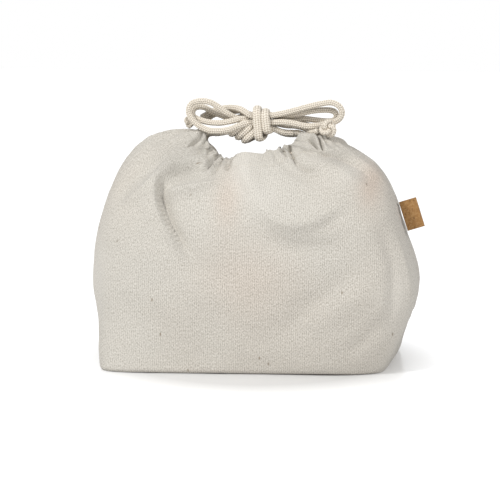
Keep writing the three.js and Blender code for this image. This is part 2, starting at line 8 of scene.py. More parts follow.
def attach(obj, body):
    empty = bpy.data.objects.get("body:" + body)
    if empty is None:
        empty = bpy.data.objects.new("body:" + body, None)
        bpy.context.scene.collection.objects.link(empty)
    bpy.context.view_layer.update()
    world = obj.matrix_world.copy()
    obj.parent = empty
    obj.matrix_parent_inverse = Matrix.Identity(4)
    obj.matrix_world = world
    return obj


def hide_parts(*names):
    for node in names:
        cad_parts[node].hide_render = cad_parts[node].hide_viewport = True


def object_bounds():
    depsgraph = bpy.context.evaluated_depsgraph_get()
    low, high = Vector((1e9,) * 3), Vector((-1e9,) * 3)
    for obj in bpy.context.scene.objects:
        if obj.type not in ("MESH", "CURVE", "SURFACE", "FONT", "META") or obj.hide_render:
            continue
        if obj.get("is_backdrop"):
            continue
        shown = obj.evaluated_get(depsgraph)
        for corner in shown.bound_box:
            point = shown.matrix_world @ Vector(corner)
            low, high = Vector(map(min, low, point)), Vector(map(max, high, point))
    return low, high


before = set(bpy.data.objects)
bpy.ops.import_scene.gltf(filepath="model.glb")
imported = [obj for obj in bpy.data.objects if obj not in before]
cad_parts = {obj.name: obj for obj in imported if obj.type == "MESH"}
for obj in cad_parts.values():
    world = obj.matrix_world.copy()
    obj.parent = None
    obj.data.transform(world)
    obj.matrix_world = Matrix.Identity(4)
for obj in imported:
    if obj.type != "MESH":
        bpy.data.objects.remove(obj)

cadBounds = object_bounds()
mm = 0.001


def addObject(name, data):
    obj = bpy.data.objects.new(name, data)
    bpy.context.scene.collection.objects.link(obj)
    return obj


# The camera stands where the photograph was taken from
cameraLook = {"azimuth": 8.5, "elevation": 9.0, "distance": 1.1, "lens": 117.3, "sensor": 36,
              "target": (-0.0029, 0.0, 0.0738)}


def makeCamera(look):
    az, el = math.radians(look["azimuth"]), math.radians(look["elevation"])
    away = np.array([math.sin(az) * math.cos(el), -math.cos(az) * math.cos(el), math.sin(el)])
    data = bpy.data.cameras.new("camera")
    data.lens = look["lens"]
    data.sensor_width = look["sensor"]
    obj = addObject("camera", data)
    obj.location = np.array(look["target"]) + look["distance"] * away
    obj.rotation_euler = (math.pi / 2 - el, 0, az)
    bpy.context.scene.camera = obj


makeCamera(cameraLook)
print("camera ready")


def newNode(tree, kind, **settings):
    made = tree.nodes.new(kind)
    for key, value in settings.items():
        setattr(made, key, value)
    return made


def feed(tree, socket, value):
    if isinstance(value, bpy.types.NodeSocket):
        tree.links.new(value, socket)
    else:
        socket.default_value = value


def calc(tree, operation, a, b=0.0, c=None):
    made = newNode(tree, "ShaderNodeMath", operation=operation)
    feed(tree, made.inputs[0], a)
    feed(tree, made.inputs[1], b)
    if c is not None:
        feed(tree, made.inputs[2], c)
    return made.outputs[0]


def mixColour(tree, share, a, b, blend="MIX"):
    made = newNode(tree, "ShaderNodeMix", data_type="RGBA", blend_type=blend)
    for place, value in ((0, share), (6, a), (7, b)):  # factor, and the two colours
        feed(tree, made.inputs[place], value)
    return made.outputs[2]


# A value's span stretched to another span, and kept within it
def rescale(tree, value, span, toSpan=(0.0, 1.0)):
    made = newNode(tree, "ShaderNodeMapRange", clamp=True)
    for place, number in enumerate((value, *span, *toSpan)):
        feed(tree, made.inputs[place], number)
    return made.outputs[0]


def noiseOf(tree, vector, scale, detail=2.0, roughness=0.5):
    made = newNode(tree, "ShaderNodeTexNoise")
    feed(tree, made.inputs["Vector"], vector)
    made.inputs["Scale"].default_value = scale
    made.inputs["Detail"].default_value = detail
    made.inputs["Roughness"].default_value = roughness
    return made.outputs["Fac"]


# Noise in streaks: one lump to the unit after the vector is scaled by its own amount each way
def streaksOf(tree, vector, scales, detail=1.0, roughness=0.5):
    return noiseOf(tree, stretched(tree, vector, scales), 1.0, detail, roughness)


# Cells that each have a random colour, with the distance from a cell's middle
def cellsOf(tree, vector, scale):
    made = newNode(tree, "ShaderNodeTexVoronoi", feature="F1")
    feed(tree, made.inputs["Vector"], vector)
    made.inputs["Scale"].default_value = scale
    pick = newNode(tree, "ShaderNodeSeparateColor")
    feed(tree, pick.inputs[0], made.outputs["Color"])
    return pick.outputs, made.outputs["Distance"]


def stretched(tree, vector, scales):
    made = newNode(tree, "ShaderNodeMapping")
    feed(tree, made.inputs["Vector"], vector)
    made.inputs["Scale"].default_value = scales
    return made.outputs["Vector"]


# 0 at whole numbers and 1 half way between them
def archOf(tree, value):
    return calc(tree, "ABSOLUTE", calc(tree, "SINE", calc(tree, "MULTIPLY", value, math.pi)))


# A colour of 0 to 255 as the materials need it
def linear(colour):
    turned = [c / 255 for c in colour]
    return tuple(c / 12.92 if c <= 0.04045 else ((c + 0.055) / 1.055) ** 2.4 for c in turned) + (1.0,)


def newGroup(name, inputs, outputs):
    tree = bpy.data.node_groups.new(name, "ShaderNodeTree")
    tree.interface.new_socket(name="Vector", in_out="INPUT", socket_type="NodeSocketVector")
    for title, value in inputs.items():
        made = tree.interface.new_socket(name=title, in_out="INPUT", socket_type="NodeSocketFloat")
        made.default_value = value
    for title in outputs:
        tree.interface.new_socket(name=title, in_out="OUTPUT", socket_type="NodeSocketFloat")
    return tree, tree.nodes.new("NodeGroupInput"), tree.nodes.new("NodeGroupOutput")


def placeGroup(tree, group, **values):
    made = newNode(tree, "ShaderNodeGroup", node_tree=group)
    for title, value in values.items():
        feed(tree, made.inputs[title], value)
    return made


# Plain weave: warp yarns run up the bag and lie over and under the weft in turn
weaveForm = {
    "wanderScale": 90.0, "wander": 0.0008,  # how far the yarns stray from straight (m)
    "roundness": 0.7, "warpLow": 0.25, "weftHigh": 0.8,
    "warpSlubs": (1700.0, 700.0, 1.0), "weftSlubs": (900.0, 1700.0, 1.0),
    "warpSlubShare": 0.6, "slubHeight": 0.4,
    "fleckCells": (170.0, 90.0, 1.0), "fleckRarity": 0.86, "fleckSize": (0.05, 0.15),
}


def weaveGroup(form):
    tree, start, end = newGroup("plainWeave", {"Warp": 0.0008, "Weft": 0.0008}, ("Height", "Yarn", "Fleck"))
    source = start.outputs["Vector"]
    stray = noiseOf(tree, source, form["wanderScale"])
    wander = calc(tree, "MULTIPLY_ADD", stray, form["wander"], -form["wander"] / 2)
    split = newNode(tree, "ShaderNodeSeparateXYZ")
    feed(tree, split.inputs[0], source)
    u = calc(tree, "DIVIDE", calc(tree, "ADD", split.outputs[0], wander), start.outputs["Warp"])
    v = calc(tree, "DIVIDE", calc(tree, "ADD", split.outputs[1], wander), start.outputs["Weft"])
    warpArch = calc(tree, "POWER", archOf(tree, u), form["roundness"])
    weftArch = calc(tree, "POWER", archOf(tree, v), form["roundness"])
    parity = calc(tree, "ADD", calc(tree, "ADD", v, -0.5), calc(tree, "FLOOR", u))
    over = calc(tree, "MULTIPLY_ADD", calc(tree, "COSINE", calc(tree, "MULTIPLY", parity, math.pi)), 0.5, 0.5)
    warpLift = calc(tree, "MULTIPLY_ADD", over, 1 - form["warpLow"], form["warpLow"])
    weftLift = calc(tree, "MULTIPLY", calc(tree, "SUBTRACT", 1.0, over), form["weftHigh"])
    warpTop = calc(tree, "MULTIPLY", warpArch, warpLift)
    weftTop = calc(tree, "MULTIPLY", weftArch, weftLift)
    warpSlub = streaksOf(tree, source, form["warpSlubs"])
    weftSlub = calc(tree, "MULTIPLY", streaksOf(tree, source, form["weftSlubs"]), 1 - form["warpSlubShare"])
    slub = calc(tree, "MULTIPLY_ADD", warpSlub, form["warpSlubShare"], weftSlub)
    top = calc(tree, "MAXIMUM", warpTop, weftTop)
    feed(tree, end.inputs["Height"], calc(tree, "MULTIPLY_ADD", slub, form["slubHeight"], top))
    feed(tree, end.inputs["Yarn"], slub)
    pick, distance = cellsOf(tree, stretched(tree, source, form["fleckCells"]), 1.0)
    chosen = calc(tree, "GREATER_THAN", pick[0], form["fleckRarity"])
    speck = rescale(tree, distance, form["fleckSize"], (1.0, 0.0))
    feed(tree, end.inputs["Fleck"], calc(tree, "MULTIPLY", chosen, speck))
    return tree


# Braided cord: slanted stitches (mm) in columns round it, each column leaning the other way. The cords' own
# surface follows these too.
braid = {"columns": 8, "stitch": 1.45, "lean": 0.55, "grainPower": 0.6, "columnPower": 0.5,
         "fibres": (60.0, 2600.0, 1.0), "fibreDetail": 3.0}
braidSizes = {"Columns": braid["columns"], "Stitch": braid["stitch"] * mm}


def plaitGroup(form):
    tree, start, end = newGroup("plaitedCord", braidSizes, ("Height", "Fibre"))
    split = newNode(tree, "ShaderNodeSeparateXYZ")
    feed(tree, split.inputs[0], start.outputs["Vector"])
    column = calc(tree, "MULTIPLY", split.outputs[0], start.outputs["Columns"])
    inside = calc(tree, "ADD", calc(tree, "FRACT", column), -0.5)
    isOdd = calc(tree, "MODULO", calc(tree, "FLOOR", column), 2.0)
    lean = calc(tree, "MULTIPLY_ADD", isOdd, 2 * form["lean"], -form["lean"])
    along = calc(tree, "DIVIDE", split.outputs[1], start.outputs["Stitch"])
    grain = archOf(tree, calc(tree, "MULTIPLY_ADD", inside, lean, along))
    grain = calc(tree, "POWER", grain, form["grainPower"])
    across = calc(tree, "COSINE", calc(tree, "MULTIPLY", inside, math.pi))
    across = calc(tree, "POWER", across, form["columnPower"])
    feed(tree, end.inputs["Height"], calc(tree, "MULTIPLY", grain, across))
    fibres = streaksOf(tree, start.outputs["Vector"], form["fibres"], form["fibreDetail"])
    feed(tree, end.inputs["Fibre"], fibres)
    return tree


weave = weaveGroup(weaveForm)
plait = plaitGroup(braid)


def newMaterial(name, specular=0.3):
    material = bpy.data.materials.new(name)
    material.use_nodes = True
    shader = material.node_tree.nodes["Principled BSDF"]
    shader.inputs["Specular IOR Level"].default_value = specular
    return material, material.node_tree, shader


def uvOf(tree):
    return newNode(tree, "ShaderNodeTexCoord").outputs["UV"]


def placeOf(tree):
    return newNode(tree, "ShaderNodeTexCoord").outputs["Object"]


def attributeOf(tree, name):
    return newNode(tree, "ShaderNodeAttribute", attribute_name=name).outputs["Fac"]


def addBump(tree, shader, height, distance):
    bump = newNode(tree, "ShaderNodeBump")
    bump.inputs["Strength"].default_value = 1.0
    bump.inputs["Distance"].default_value = distance
    feed(tree, bump.inputs["Height"], height)
    feed(tree, shader.inputs["Normal"], bump.outputs[0])


# The grey colour multiplies in painted shade and the light colour mixes in painted light on the front panel;
# light is also the colour of the pale yarns
canvasLook = {
    "cloth": (200, 195, 185), "shade": (148, 142, 130), "light": (226, 222, 214), "fleck": (128, 114, 94),
    "pink": (250, 243, 238), "blush": (255, 245, 240), "paintedShadeGrey": (240, 240, 240),
    "dips": (0.35, 1.15), "paleYarns": (0.36, 0.66), "lightShare": 0.75, "fleckShare": 0.75,
    "patchScale": 9.0, "patches": (0.42, 0.62), "pinkShare": 0.25, "paintedLightShare": 0.35,
    "warp": 0.0014, "weft": 0.00095, "relief": 0.00015,  # metres
    "yarns": (0.3, 0.7), "roughness": (0.96, 0.84), "sheen": 0.12, "sheenRoughness": 0.5,
}


def canvasMaterial(look):
    material, tree, shader = newMaterial("naturalCanvas")
    cloth = placeGroup(tree, weave, Vector=uvOf(tree), Warp=look["warp"], Weft=look["weft"])
    dips = rescale(tree, cloth.outputs["Height"], look["dips"])
    colour = mixColour(tree, dips, linear(look["shade"]), linear(look["cloth"]))
    bright = rescale(tree, cloth.outputs["Yarn"], look["paleYarns"])
    bright = calc(tree, "MULTIPLY", bright, look["lightShare"])
    colour = mixColour(tree, bright, colour, linear(look["light"]))
    patches = rescale(tree, noiseOf(tree, placeOf(tree), look["patchScale"]), look["patches"])
    patches = calc(tree, "MULTIPLY", patches, look["pinkShare"])
    colour = mixColour(tree, patches, colour, linear(look["pink"]), "MULTIPLY")
    colour = mixColour(tree, attributeOf(tree, "blush"), colour, linear(look["blush"]), "MULTIPLY")
    # Painted light and shade: below 0 the cloth is darkened as painted shade, above 0 brightened as painted
    # light
    paintedLightAndShade = attributeOf(tree, "paintedLightAndShade")  # below 0 the cloth is greyer, above it paler
    paintedShade = calc(tree, "MAXIMUM", calc(tree, "MULTIPLY", paintedLightAndShade, -1.0), 0.0)
    colour = mixColour(tree, paintedShade, colour, linear(look["paintedShadeGrey"]), "MULTIPLY")
    paintedLight = calc(tree, "MAXIMUM", calc(tree, "MULTIPLY", paintedLightAndShade, look["paintedLightShare"]), 0.0)
    colour = mixColour(tree, paintedLight, colour, linear(look["light"]))
    flecks = calc(tree, "MULTIPLY", cloth.outputs["Fleck"], look["fleckShare"])
    feed(tree, shader.inputs["Base Color"], mixColour(tree, flecks, colour, linear(look["fleck"])))
    roughness = rescale(tree, cloth.outputs["Yarn"], look["yarns"], look["roughness"])
    feed(tree, shader.inputs["Roughness"], roughness)
    shader.inputs["Sheen Weight"].default_value = look["sheen"]
    shader.inputs["Sheen Roughness"].default_value = look["sheenRoughness"]
    addBump(tree, shader, cloth.outputs["Height"], look["relief"])
    return material


cordLook = {
    "cord": (237, 229, 215), "gap": (162, 148, 129), "dips": (0.12, 0.6),
    "fibres": (0.3, 0.7), "fibreShare": 0.12, "roughness": (0.78, 0.92), "sheen": 0.1, "relief": 0.0002,
}


def cordMaterial(look):
    material, tree, shader = newMaterial("cottonCord")
    stitches = placeGroup(tree, plait, Vector=uvOf(tree), **braidSizes)
    share = rescale(tree, stitches.outputs["Height"], look["dips"])
    colour = mixColour(tree, share, linear(look["gap"]), linear(look["cord"]))
    fibre = rescale(tree, stitches.outputs["Fibre"], look["fibres"], (0.0, look["fibreShare"]))
    feed(tree, shader.inputs["Base Color"], mixColour(tree, fibre, colour, linear(look["gap"])))
    roughness = rescale(tree, stitches.outputs["Fibre"], look["fibres"], look["roughness"])
    feed(tree, shader.inputs["Roughness"], roughness)
    shader.inputs["Sheen Weight"].default_value = look["sheen"]
    addBump(tree, shader, stitches.outputs["Height"], look["relief"])
    return material


tapeLook = {"tape": (228, 223, 211), "gap": (186, 179, 165), "dips": (0.4, 1.1), "yarn": 0.0006,
            "yarns": (0.3, 0.7), "roughness": (0.95, 0.85), "relief": 0.0001}


def tapeMaterial(look):
    material, tree, shader = newMaterial("bindingTape")
    cloth = placeGroup(tree, weave, Vector=uvOf(tree), Warp=look["yarn"], Weft=look["yarn"])
    share = rescale(tree, cloth.outputs["Height"], look["dips"])
    feed(tree, shader.inputs["Base Color"], mixColour(tree, share, linear(look["gap"]), linear(look["tape"])))
    roughness = rescale(tree, cloth.outputs["Yarn"], look["yarns"], look["roughness"])
    feed(tree, shader.inputs["Roughness"], roughness)
    addBump(tree, shader, cloth.outputs["Height"], look["relief"])
    return material


corkLook = {
    "cork": (152, 112, 66), "dark": (92, 62, 36), "pale": (172, 134, 88),
    "grainScale": 900.0, "grains": (0.2, 1.0), "paleShare": 0.8,
    "streakScales": (700.0, 700.0, 300.0), "streakDetail": 3.0, "streakRoughness": 0.6,
    "streaks": (0.56, 0.68), "darkShare": 0.8, "pitDepth": 0.8, "roughness": (0.6, 0.8), "relief": 0.00012,
}


def corkMaterial(look):
    material, tree, shader = newMaterial("corkSheet")
    place = placeOf(tree)
    pick, distance = cellsOf(tree, place, look["grainScale"])
    pale = rescale(tree, pick[0], look["grains"], (0.0, look["paleShare"]))
    colour = mixColour(tree, pale, linear(look["cork"]), linear(look["pale"]))
    streaks = streaksOf(tree, place, look["streakScales"], look["streakDetail"], look["streakRoughness"])
    streaks = rescale(tree, streaks, look["streaks"])
    dark = calc(tree, "MULTIPLY", streaks, look["darkShare"])
    feed(tree, shader.inputs["Base Color"], mixColour(tree, dark, colour, linear(look["dark"])))
    feed(tree, shader.inputs["Roughness"], rescale(tree, pick[1], (0.0, 1.0), look["roughness"]))
    addBump(tree, shader, calc(tree, "MULTIPLY_ADD", streaks, -look["pitDepth"], distance), look["relief"])
    return material


threadLook = {"thread": (224, 219, 208), "gap": (190, 183, 170), "twistScale": 900.0,
              "roughness": (0.65, 0.8), "relief": 0.00004}


def threadMaterial(look):
    material, tree, shader = newMaterial("sewingThread")
    twist = newNode(tree, "ShaderNodeTexWave", wave_type="BANDS", bands_direction="DIAGONAL")
    feed(tree, twist.inputs["Vector"], placeOf(tree))
    twist.inputs["Scale"].default_value = look["twistScale"]
    turns = twist.outputs["Fac"]
    colour = mixColour(tree, turns, linear(look["gap"]), linear(look["thread"]))
    feed(tree, shader.inputs["Base Color"], colour)
    feed(tree, shader.inputs["Roughness"], rescale(tree, turns, (0.0, 1.0), look["roughness"]))
    addBump(tree, shader, turns, look["relief"])
    return material


canvasSkin = canvasMaterial(canvasLook)
cordSkin = cordMaterial(cordLook)
tapeSkin = tapeMaterial(tapeLook)
corkSkin = corkMaterial(corkLook)
threadSkin = threadMaterial(threadLook)
print("materials ready")


def meshObject(name, bm, material, smooth=True):
    for face in bm.faces:
        face.smooth = smooth
    mesh = bpy.data.meshes.new(name)
    bm.to_mesh(mesh)
    bm.free()
    mesh.materials.append(material)
    return addObject(name, mesh)


# A grid bent to points (mm), given row by row, with a UV map in metres
def gridMesh(name, points, uv, material):
    rows, columns = points.shape[:2]
    bm = bmesh.new()
    bmesh.ops.create_grid(bm, x_segments=columns - 1, y_segments=rows - 1, size=1.0)
    obj = meshObject(name, bm, material)
    mesh = obj.data
    flat = np.empty(len(mesh.vertices) * 3)
    mesh.vertices.foreach_get("co", flat)
    flat = flat.reshape(-1, 3)
    col = np.rint((flat[:, 0] + 1) / 2 * (columns - 1)).astype(int)
    row = np.rint((flat[:, 1] + 1) / 2 * (rows - 1)).astype(int)
    mesh.vertices.foreach_set("co", (points[row, col] * mm).astype(np.float32).ravel())
    corner = np.empty(len(mesh.loops), dtype=np.int32)
    mesh.loops.foreach_get("vertex_index", corner)
    layer = mesh.uv_layers.new(name="UVMap")
    layer.data.foreach_set("uv", uv[row[corner], col[corner]].astype(np.float32).ravel())
    mesh.update()
    return obj


# Joins the edges that meet and closes the holes within a distance of the origin (m)
def weld(obj, closeWithin=None):
    bm = bmesh.new()
    bm.from_mesh(obj.data)
    bmesh.ops.remove_doubles(bm, verts=bm.verts, dist=1e-7)
    if closeWithin:
        rims = [edge for edge in bm.edges if edge.is_boundary and edge.verts[0].co.length < closeWithin]
        bmesh.ops.holes_fill(bm, edges=rims, sides=0)
        bmesh.ops.recalc_face_normals(bm, faces=bm.faces)
    for face in bm.faces:
        face.smooth = True
    bm.to_mesh(obj.data)
    bm.free()


def thicken(obj, thickness, offset=-1.0):
    made = obj.modifiers.new("wall", "SOLIDIFY")
    made.thickness = thickness * mm
    made.offset = offset
    made.use_even_offset = False


# How far along a line each of its points is
def runAlong(line):
    return np.concatenate([[0], np.cumsum(np.linalg.norm(np.diff(line, axis=0), axis=1))])


def valuesAt(at, run, values):
    return np.stack([np.interp(at, run, values[:, k]) for k in range(3)], axis=1)


def evenly(line, step):
    run = runAlong(line)
    count = max(int(round(run[-1] / step)), 2)
    return valuesAt(np.linspace(0, run[-1], count + 1), run, line)


def between(a, b, start, end, at):
    return (end - at) / (end - start) * a + (at - start) / (end - start) * b


# A smooth curve through a route's points (mm), as points an even step apart
def smoothRoute(route, step, perStretch=24):
    p = np.array(route, dtype=float)
    p = np.vstack([2 * p[0] - p[1], p, 2 * p[-1] - p[-2]])
    out = []
    for i in range(1, len(p) - 2):
        a, b, c, d = p[i - 1:i + 3]
        t = np.cumsum([0] + [max(np.linalg.norm(y - x), 1e-6) ** 0.5 for x, y in ((a, b), (b, c), (c, d))])
        s = np.linspace(t[1], t[2], perStretch, endpoint=False)[:, None]
        ab, bc, cd = between(a, b, t[0], t[1], s), between(b, c, t[1], t[2], s), between(c, d, t[2], t[3], s)
        abc, bcd = between(ab, bc, t[0], t[2], s), between(bc, cd, t[1], t[3], s)
        out.append(between(abc, bcd, t[1], t[2], s))
    return evenly(np.vstack(out + [p[-2][None]]), step)


# Directions across a line that turn with it and don't twist
def framesAlong(line):
    tangent = np.gradient(line, axis=0)
    tangent /= np.linalg.norm(tangent, axis=1)[:, None]
    side = np.cross(tangent[0], [0, 0, 1.0])
    if np.linalg.norm(side) < 0.1:
        side = np.cross(tangent[0], [0, 1.0, 0])
    sides = [side / np.linalg.norm(side)]
    for i in range(1, len(line)):
        moved = sides[-1] - tangent[i] * np.dot(sides[-1], tangent[i])
        sides.append(moved / np.linalg.norm(moved))
    sides = np.array(sides)
    return tangent, sides, np.cross(tangent, sides)


# The height of the braid at a share round the cord and a length along it (mm)
def braidHeight(around, along):
    column = around * braid["columns"]
    inside = column - np.floor(column) - 0.5
    lean = np.where(np.floor(column) % 2 == 0, -braid["lean"], braid["lean"])
    grain = np.abs(np.sin(np.pi * (along / braid["stitch"] + lean * inside)))
    return grain ** braid["grainPower"] * np.cos(np.pi * inside) ** braid["columnPower"]


# Relief is how tall the stitches stand, and middle is the height that lies on the cord's radius
cordSize = {"diameter": 3.6, "radius": 1.9, "sides": 32, "heldSides": 24, "ring": 0.3, "windingRing": 0.32,
            "relief": 0.46, "middle": 0.55, "endRound": 0.35, "endLeast": 0.25}


# A braided cord along a line. Away is the direction in which squeeze flattens it, as under a tight wrap.
def cordMesh(name, line, radius=None, sides=None, away=None, squeeze=1.0, cutEnds=True):
    radius = radius or cordSize["radius"]
    sides = sides or cordSize["sides"]
    tangent, side, up = framesAlong(line)
    if away is not None:
        up = away - tangent * (away * tangent).sum(1)[:, None]
        up /= np.linalg.norm(up, axis=1)[:, None]
        side = np.cross(up, tangent)
    run = runAlong(line)
    share = np.arange(sides + 1) / sides
    halfColumn = 0.5 / braid["columns"]
    height = braidHeight((share[None, :] + halfColumn) % 1.0, run[:, None])
    lift = cordSize["relief"] * (height - cordSize["middle"])
    lift[:, -1] = lift[:, 0]
    reach = radius + lift
    if cutEnds:  # they round off and close
        near = np.minimum(run, run[-1] - run)
        reach = reach * np.clip(near / (cordSize["endRound"] * radius), 0.0, 1.0)[:, None] ** 0.5
        reach = np.maximum(reach, cordSize["endLeast"])
    angle = 2 * np.pi * share
    sideways = side[:, None, :] * (reach * np.cos(angle))[..., None]
    points = line[:, None, :] + sideways + up[:, None, :] * (reach * squeeze * np.sin(angle))[..., None]
    uv = np.stack(np.broadcast_arrays((share + halfColumn)[None, :], run[:, None] * mm), axis=-1)
    obj = gridMesh(name, points, uv, cordSkin)
    weld(obj, closeWithin=math.inf)
    return obj


# The cords' routes (mm), read from the photograph
bowFront = [
    (-36.8, 3.2, 162.4), (-33, 4.6, 164.6), (-28.4, 5, 167.1), (-21.8, 2.8, 169), (-15.1, -0.2, 169.8),
    (-8.5, -3.6, 168.9), (-1, -6.35, 165), (4.4, -6.35, 165), (10.5, -6.35, 165), (16.3, -6.9, 166),
    (23.8, -7.7, 167.7), (35.8, -8.6, 171.1), (46.1, -9.5, 173.6), (53, -10, 174.3), (57.9, -10.5, 171.8),
    (59.6, -10.4, 167.8), (58, -9.6, 163.9), (54, -8.2, 161.4), (49.4, -7, 160), (43.4, -6.3, 158.9),
    (38, -7, 158.5),
    (33, -7.3, 159), (28, -7.2, 160.1), (21, -6.8, 160.9), (10.5, -6.35, 160.65), (4.4, -6.35, 160.65),
    (-1.8, -6.5, 160.1), (-4.9, -8.5, 159.7), (-9.4, -10.9, 158.3), (-15.4, -11.4, 156), (-22.2, -11.4, 155),
    (-29, -11.2, 155.4), (-35.2, -10.6, 158), (-40.1, -10, 162.3), (-42.7, -9.5, 167.3), (-41.2, -9, 172.3),
    (-35.5, -8.6, 174.5), (-28.5, -8.2, 173.7), (-23.2, -7.2, 170.7), (-18, -5.8, 166.7),
    (-12.6, -3.4, 163.4),
    (-7.4, -1.2, 161.7), (-4.2, 0.7, 160.9), (-1, 2.35, 160.65), (4.4, 2.35, 160.65), (10.5, 2.35, 160.65),
    (15.7, 2, 159.2), (21.5, 1.6, 158.2), (28, 0.8, 157.9), (33.6, -1.8, 156.8), (37.8, -5.1, 154.8),
    (41, -8.6, 154.6),
    (43.6, -11.6, 156),
]
bowBack = [
    (-38.6, 5.8, 160.4), (-33.4, 8.6, 161.6), (-29.1, 9, 164.1), (-22.5, 7.2, 165.9), (-15.9, 4.6, 166.7),
    (-9.2, 0.9, 167.5), (-1, -2, 165), (4.4, -2, 165), (10.5, -2, 165), (15.7, -2.4, 165.1),
    (23.3, -3.2, 165.4),
    (31.4, -3.6, 166.6), (38.8, -4, 168.2), (45.6, -4.4, 169), (51.6, -4.8, 168.9), (54.3, -4.7, 167.8),
    (55.4, -4.2, 165.3), (54.3, -3.4, 162.8), (51.6, -2.4, 161.7), (46, -0.8, 161.6), (40.5, 0.3, 162.1),
    (31.5, 0.9, 162.9), (22.9, 0.2, 162.4),
    (15.6, -1.4, 161.2), (10.5, -2, 160.65), (4.4, -2, 160.65), (-1, -2.2, 160.9), (-7.4, -5.7, 162.8),
    (-13.8, -8.5, 161.4), (-21.9, -8.8, 160.1), (-31, -7.4, 160.6), (-37.4, -5.4, 162.3),
    (-40.2, -4.5, 163.7),
    (-41.3, -3.2, 166.3), (-40.2, -1.9, 169), (-37.4, -0.7, 170.1), (-33.6, 0.3, 169.6),
    (-28.6, 0.8, 166.9), (-22.2, 1.2, 164.3), (-15.8, 1.8, 162.3),
    (-9.5, 3.9, 163.3), (-5.2, 3.4, 164.6), (-1, 2.35, 165), (4.4, 2.35, 165), (10.5, 2.35, 165),
    (15.4, 5, 163.2),
    (22, 5.6, 161.2), (29, 4.6, 159.8), (35, 1.8, 158.6), (39.6, -1.7, 157.2), (43, -4.2, 154.8),
    (46.4, -8.2, 154.3),
]
carryFront = [
    (-27, -2, 153.6), (-25.6, -2, 153.6), (-21.8, -2.6, 153.7), (-17, -3.1, 153.8), (-10, -3.4, 153.7),
    (-5.6, -3.8, 153.9), (-2.2, -4, 155.3), (1.2, -4.2, 156.8), (5, -4.2, 156.9), (10.5, -4.2, 156.9),
    (14.5, -3.8, 155.8), (18.5, -3, 154.3), (22, -2.2, 153.7), (25.6, -2, 153.6), (27, -2, 153.6),
]
carryBack = [
    (-27, 2, 152.2), (-25.6, 2, 152.2), (-21.4, 1.8, 152.8), (-17, 1.3, 153.7), (-10, 0.9, 153.7),
    (-5.6, 0.5, 153.9),
    (-2.2, 0.3, 155.3), (1.2, 0.2, 156.8), (5, 0.2, 156.9), (10.5, 0.2, 156.9), (14.6, 0.8, 155.2),
    (18.5, 1.6, 153.2),
    (22, 2, 152.3), (25.6, 2, 152.2), (27, 2, 152.2),
]

# The turns climb and taper from the first to the last, and square is how boxy a turn is
bowWrap = {"x": 6.4, "y": -2, "z": 159.6, "turns": 2, "pitch": 5.5, "halfHeight": 8.8, "halfDepth": 8.3,
           "lean": 0.0, "width": 5.4, "thickness": 3.0, "square": 4.4, "taper": 0.39, "climb": 0.14}
halfKnot = {"x": -5.4, "y": -1.4, "z": 154.6, "turns": 3, "pitch": 4.4, "halfHeight": 4.3, "halfDepth": 6.9,
            "lean": 1.4, "width": 4.3, "thickness": 3.3, "square": 2.6, "taper": 0.0, "climb": -0.25}


# A cord wound round the bundle: its middle line and, at each point, the direction away from the bundle
def windingLine(w, perTurn=240):
    steps = np.arange(int(w["turns"] * perTurn) + 1)
    angle = 1.5 * np.pi + 2 * np.pi * steps / perTurn
    cos, sin = np.cos(angle), np.sin(angle)
    reach = (np.abs(cos) ** w["square"] + np.abs(sin) ** w["square"]) ** (-1 / w["square"])
    turned = steps / perTurn - w["turns"] / 2
    height = w["halfHeight"] * (1 - w["taper"] * turned) * reach * cos
    along = w["pitch"] * turned
    up = w["z"] + 2 * w["climb"] * along + height
    line = np.stack([w["x"] + along + w["lean"] * height, w["y"] - w["halfDepth"] * reach * sin, up], 1)
    power = w["square"] - 2
    away = np.stack([0 * cos, -sin * np.abs(sin) ** power, cos * np.abs(cos) ** power], 1)
    away /= np.linalg.norm(away, axis=1)[:, None]
    return line, away


def windingMesh(name, w):
    line, away = windingLine(w)
    run = runAlong(line)
    at = np.linspace(0, run[-1], int(run[-1] / cordSize["windingRing"]))
    line, away = valuesAt(at, run, line), valuesAt(at, run, away)
    return cordMesh(name, line, radius=w["width"] / 2, away=away, squeeze=w["thickness"] / w["width"])


def setPiece(obj, body, slot, *nodes):
    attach(obj, body)
    if nodes:
        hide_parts(*nodes)
    return obj


routes = {"front_bow": bowFront, "back_bow": bowBack, "front_carry": carryFront, "back_carry": carryBack}
strands = {}
for title, route in routes.items():
    line = smoothRoute(route, cordSize["ring"])
    obj = cordMesh(title + "_cord", line, cutEnds="bow" in title)
    strands[title] = (setPiece(obj, "bow", "cotton_cord", title + "_strand"), line)
wrapPiece = setPiece(windingMesh("bow_wrap_cord", bowWrap), "bow", "cotton_cord", "bow_wrap")
halfPiece = setPiece(windingMesh("half_knot_cord", halfKnot), "bow", "cotton_cord", "half_knot")

# The knots at the cord ends. Spread, tall and thick are shares of a knot's size: how far its rings stand from
# its middle, how tall it is, and how thick its cord is.
stopperLook = {
    "lean": 75, "spread": 0.92, "tall": 0.62, "thick": 0.47, "steps": 400,
    "left": {"place": (-43.7, 1.2, 159.9), "spin": 20, "size": 2.35},
    "right": {"place": (50.8, -12.5, 157.5), "spin": 75, "size": 3.3},
}


def rotated(points, first, second, degrees):
    c, s = math.cos(math.radians(degrees)), math.sin(math.radians(degrees))
    turn = np.eye(3)
    turn[first, first] = turn[second, second] = c
    turn[first, second], turn[second, first] = s, -s
    return points @ turn


# An overhand knot drawn tight: three crossings, its cord run on into itself
def stopperLine(knot):
    t = np.linspace(0, 2 * np.pi, stopperLook["steps"])
    half = knot["size"] * 0.5
    ring = half * (2 + np.cos(3 * t)) * stopperLook["spread"]
    height = half * 2 * np.sin(3 * t) * stopperLook["tall"]
    line = np.stack([ring * np.cos(2 * t), ring * np.sin(2 * t), height], 1)
    line = rotated(rotated(line, 0, 1, knot["spin"]), 1, 2, stopperLook["lean"])
    return line + np.array(knot["place"])


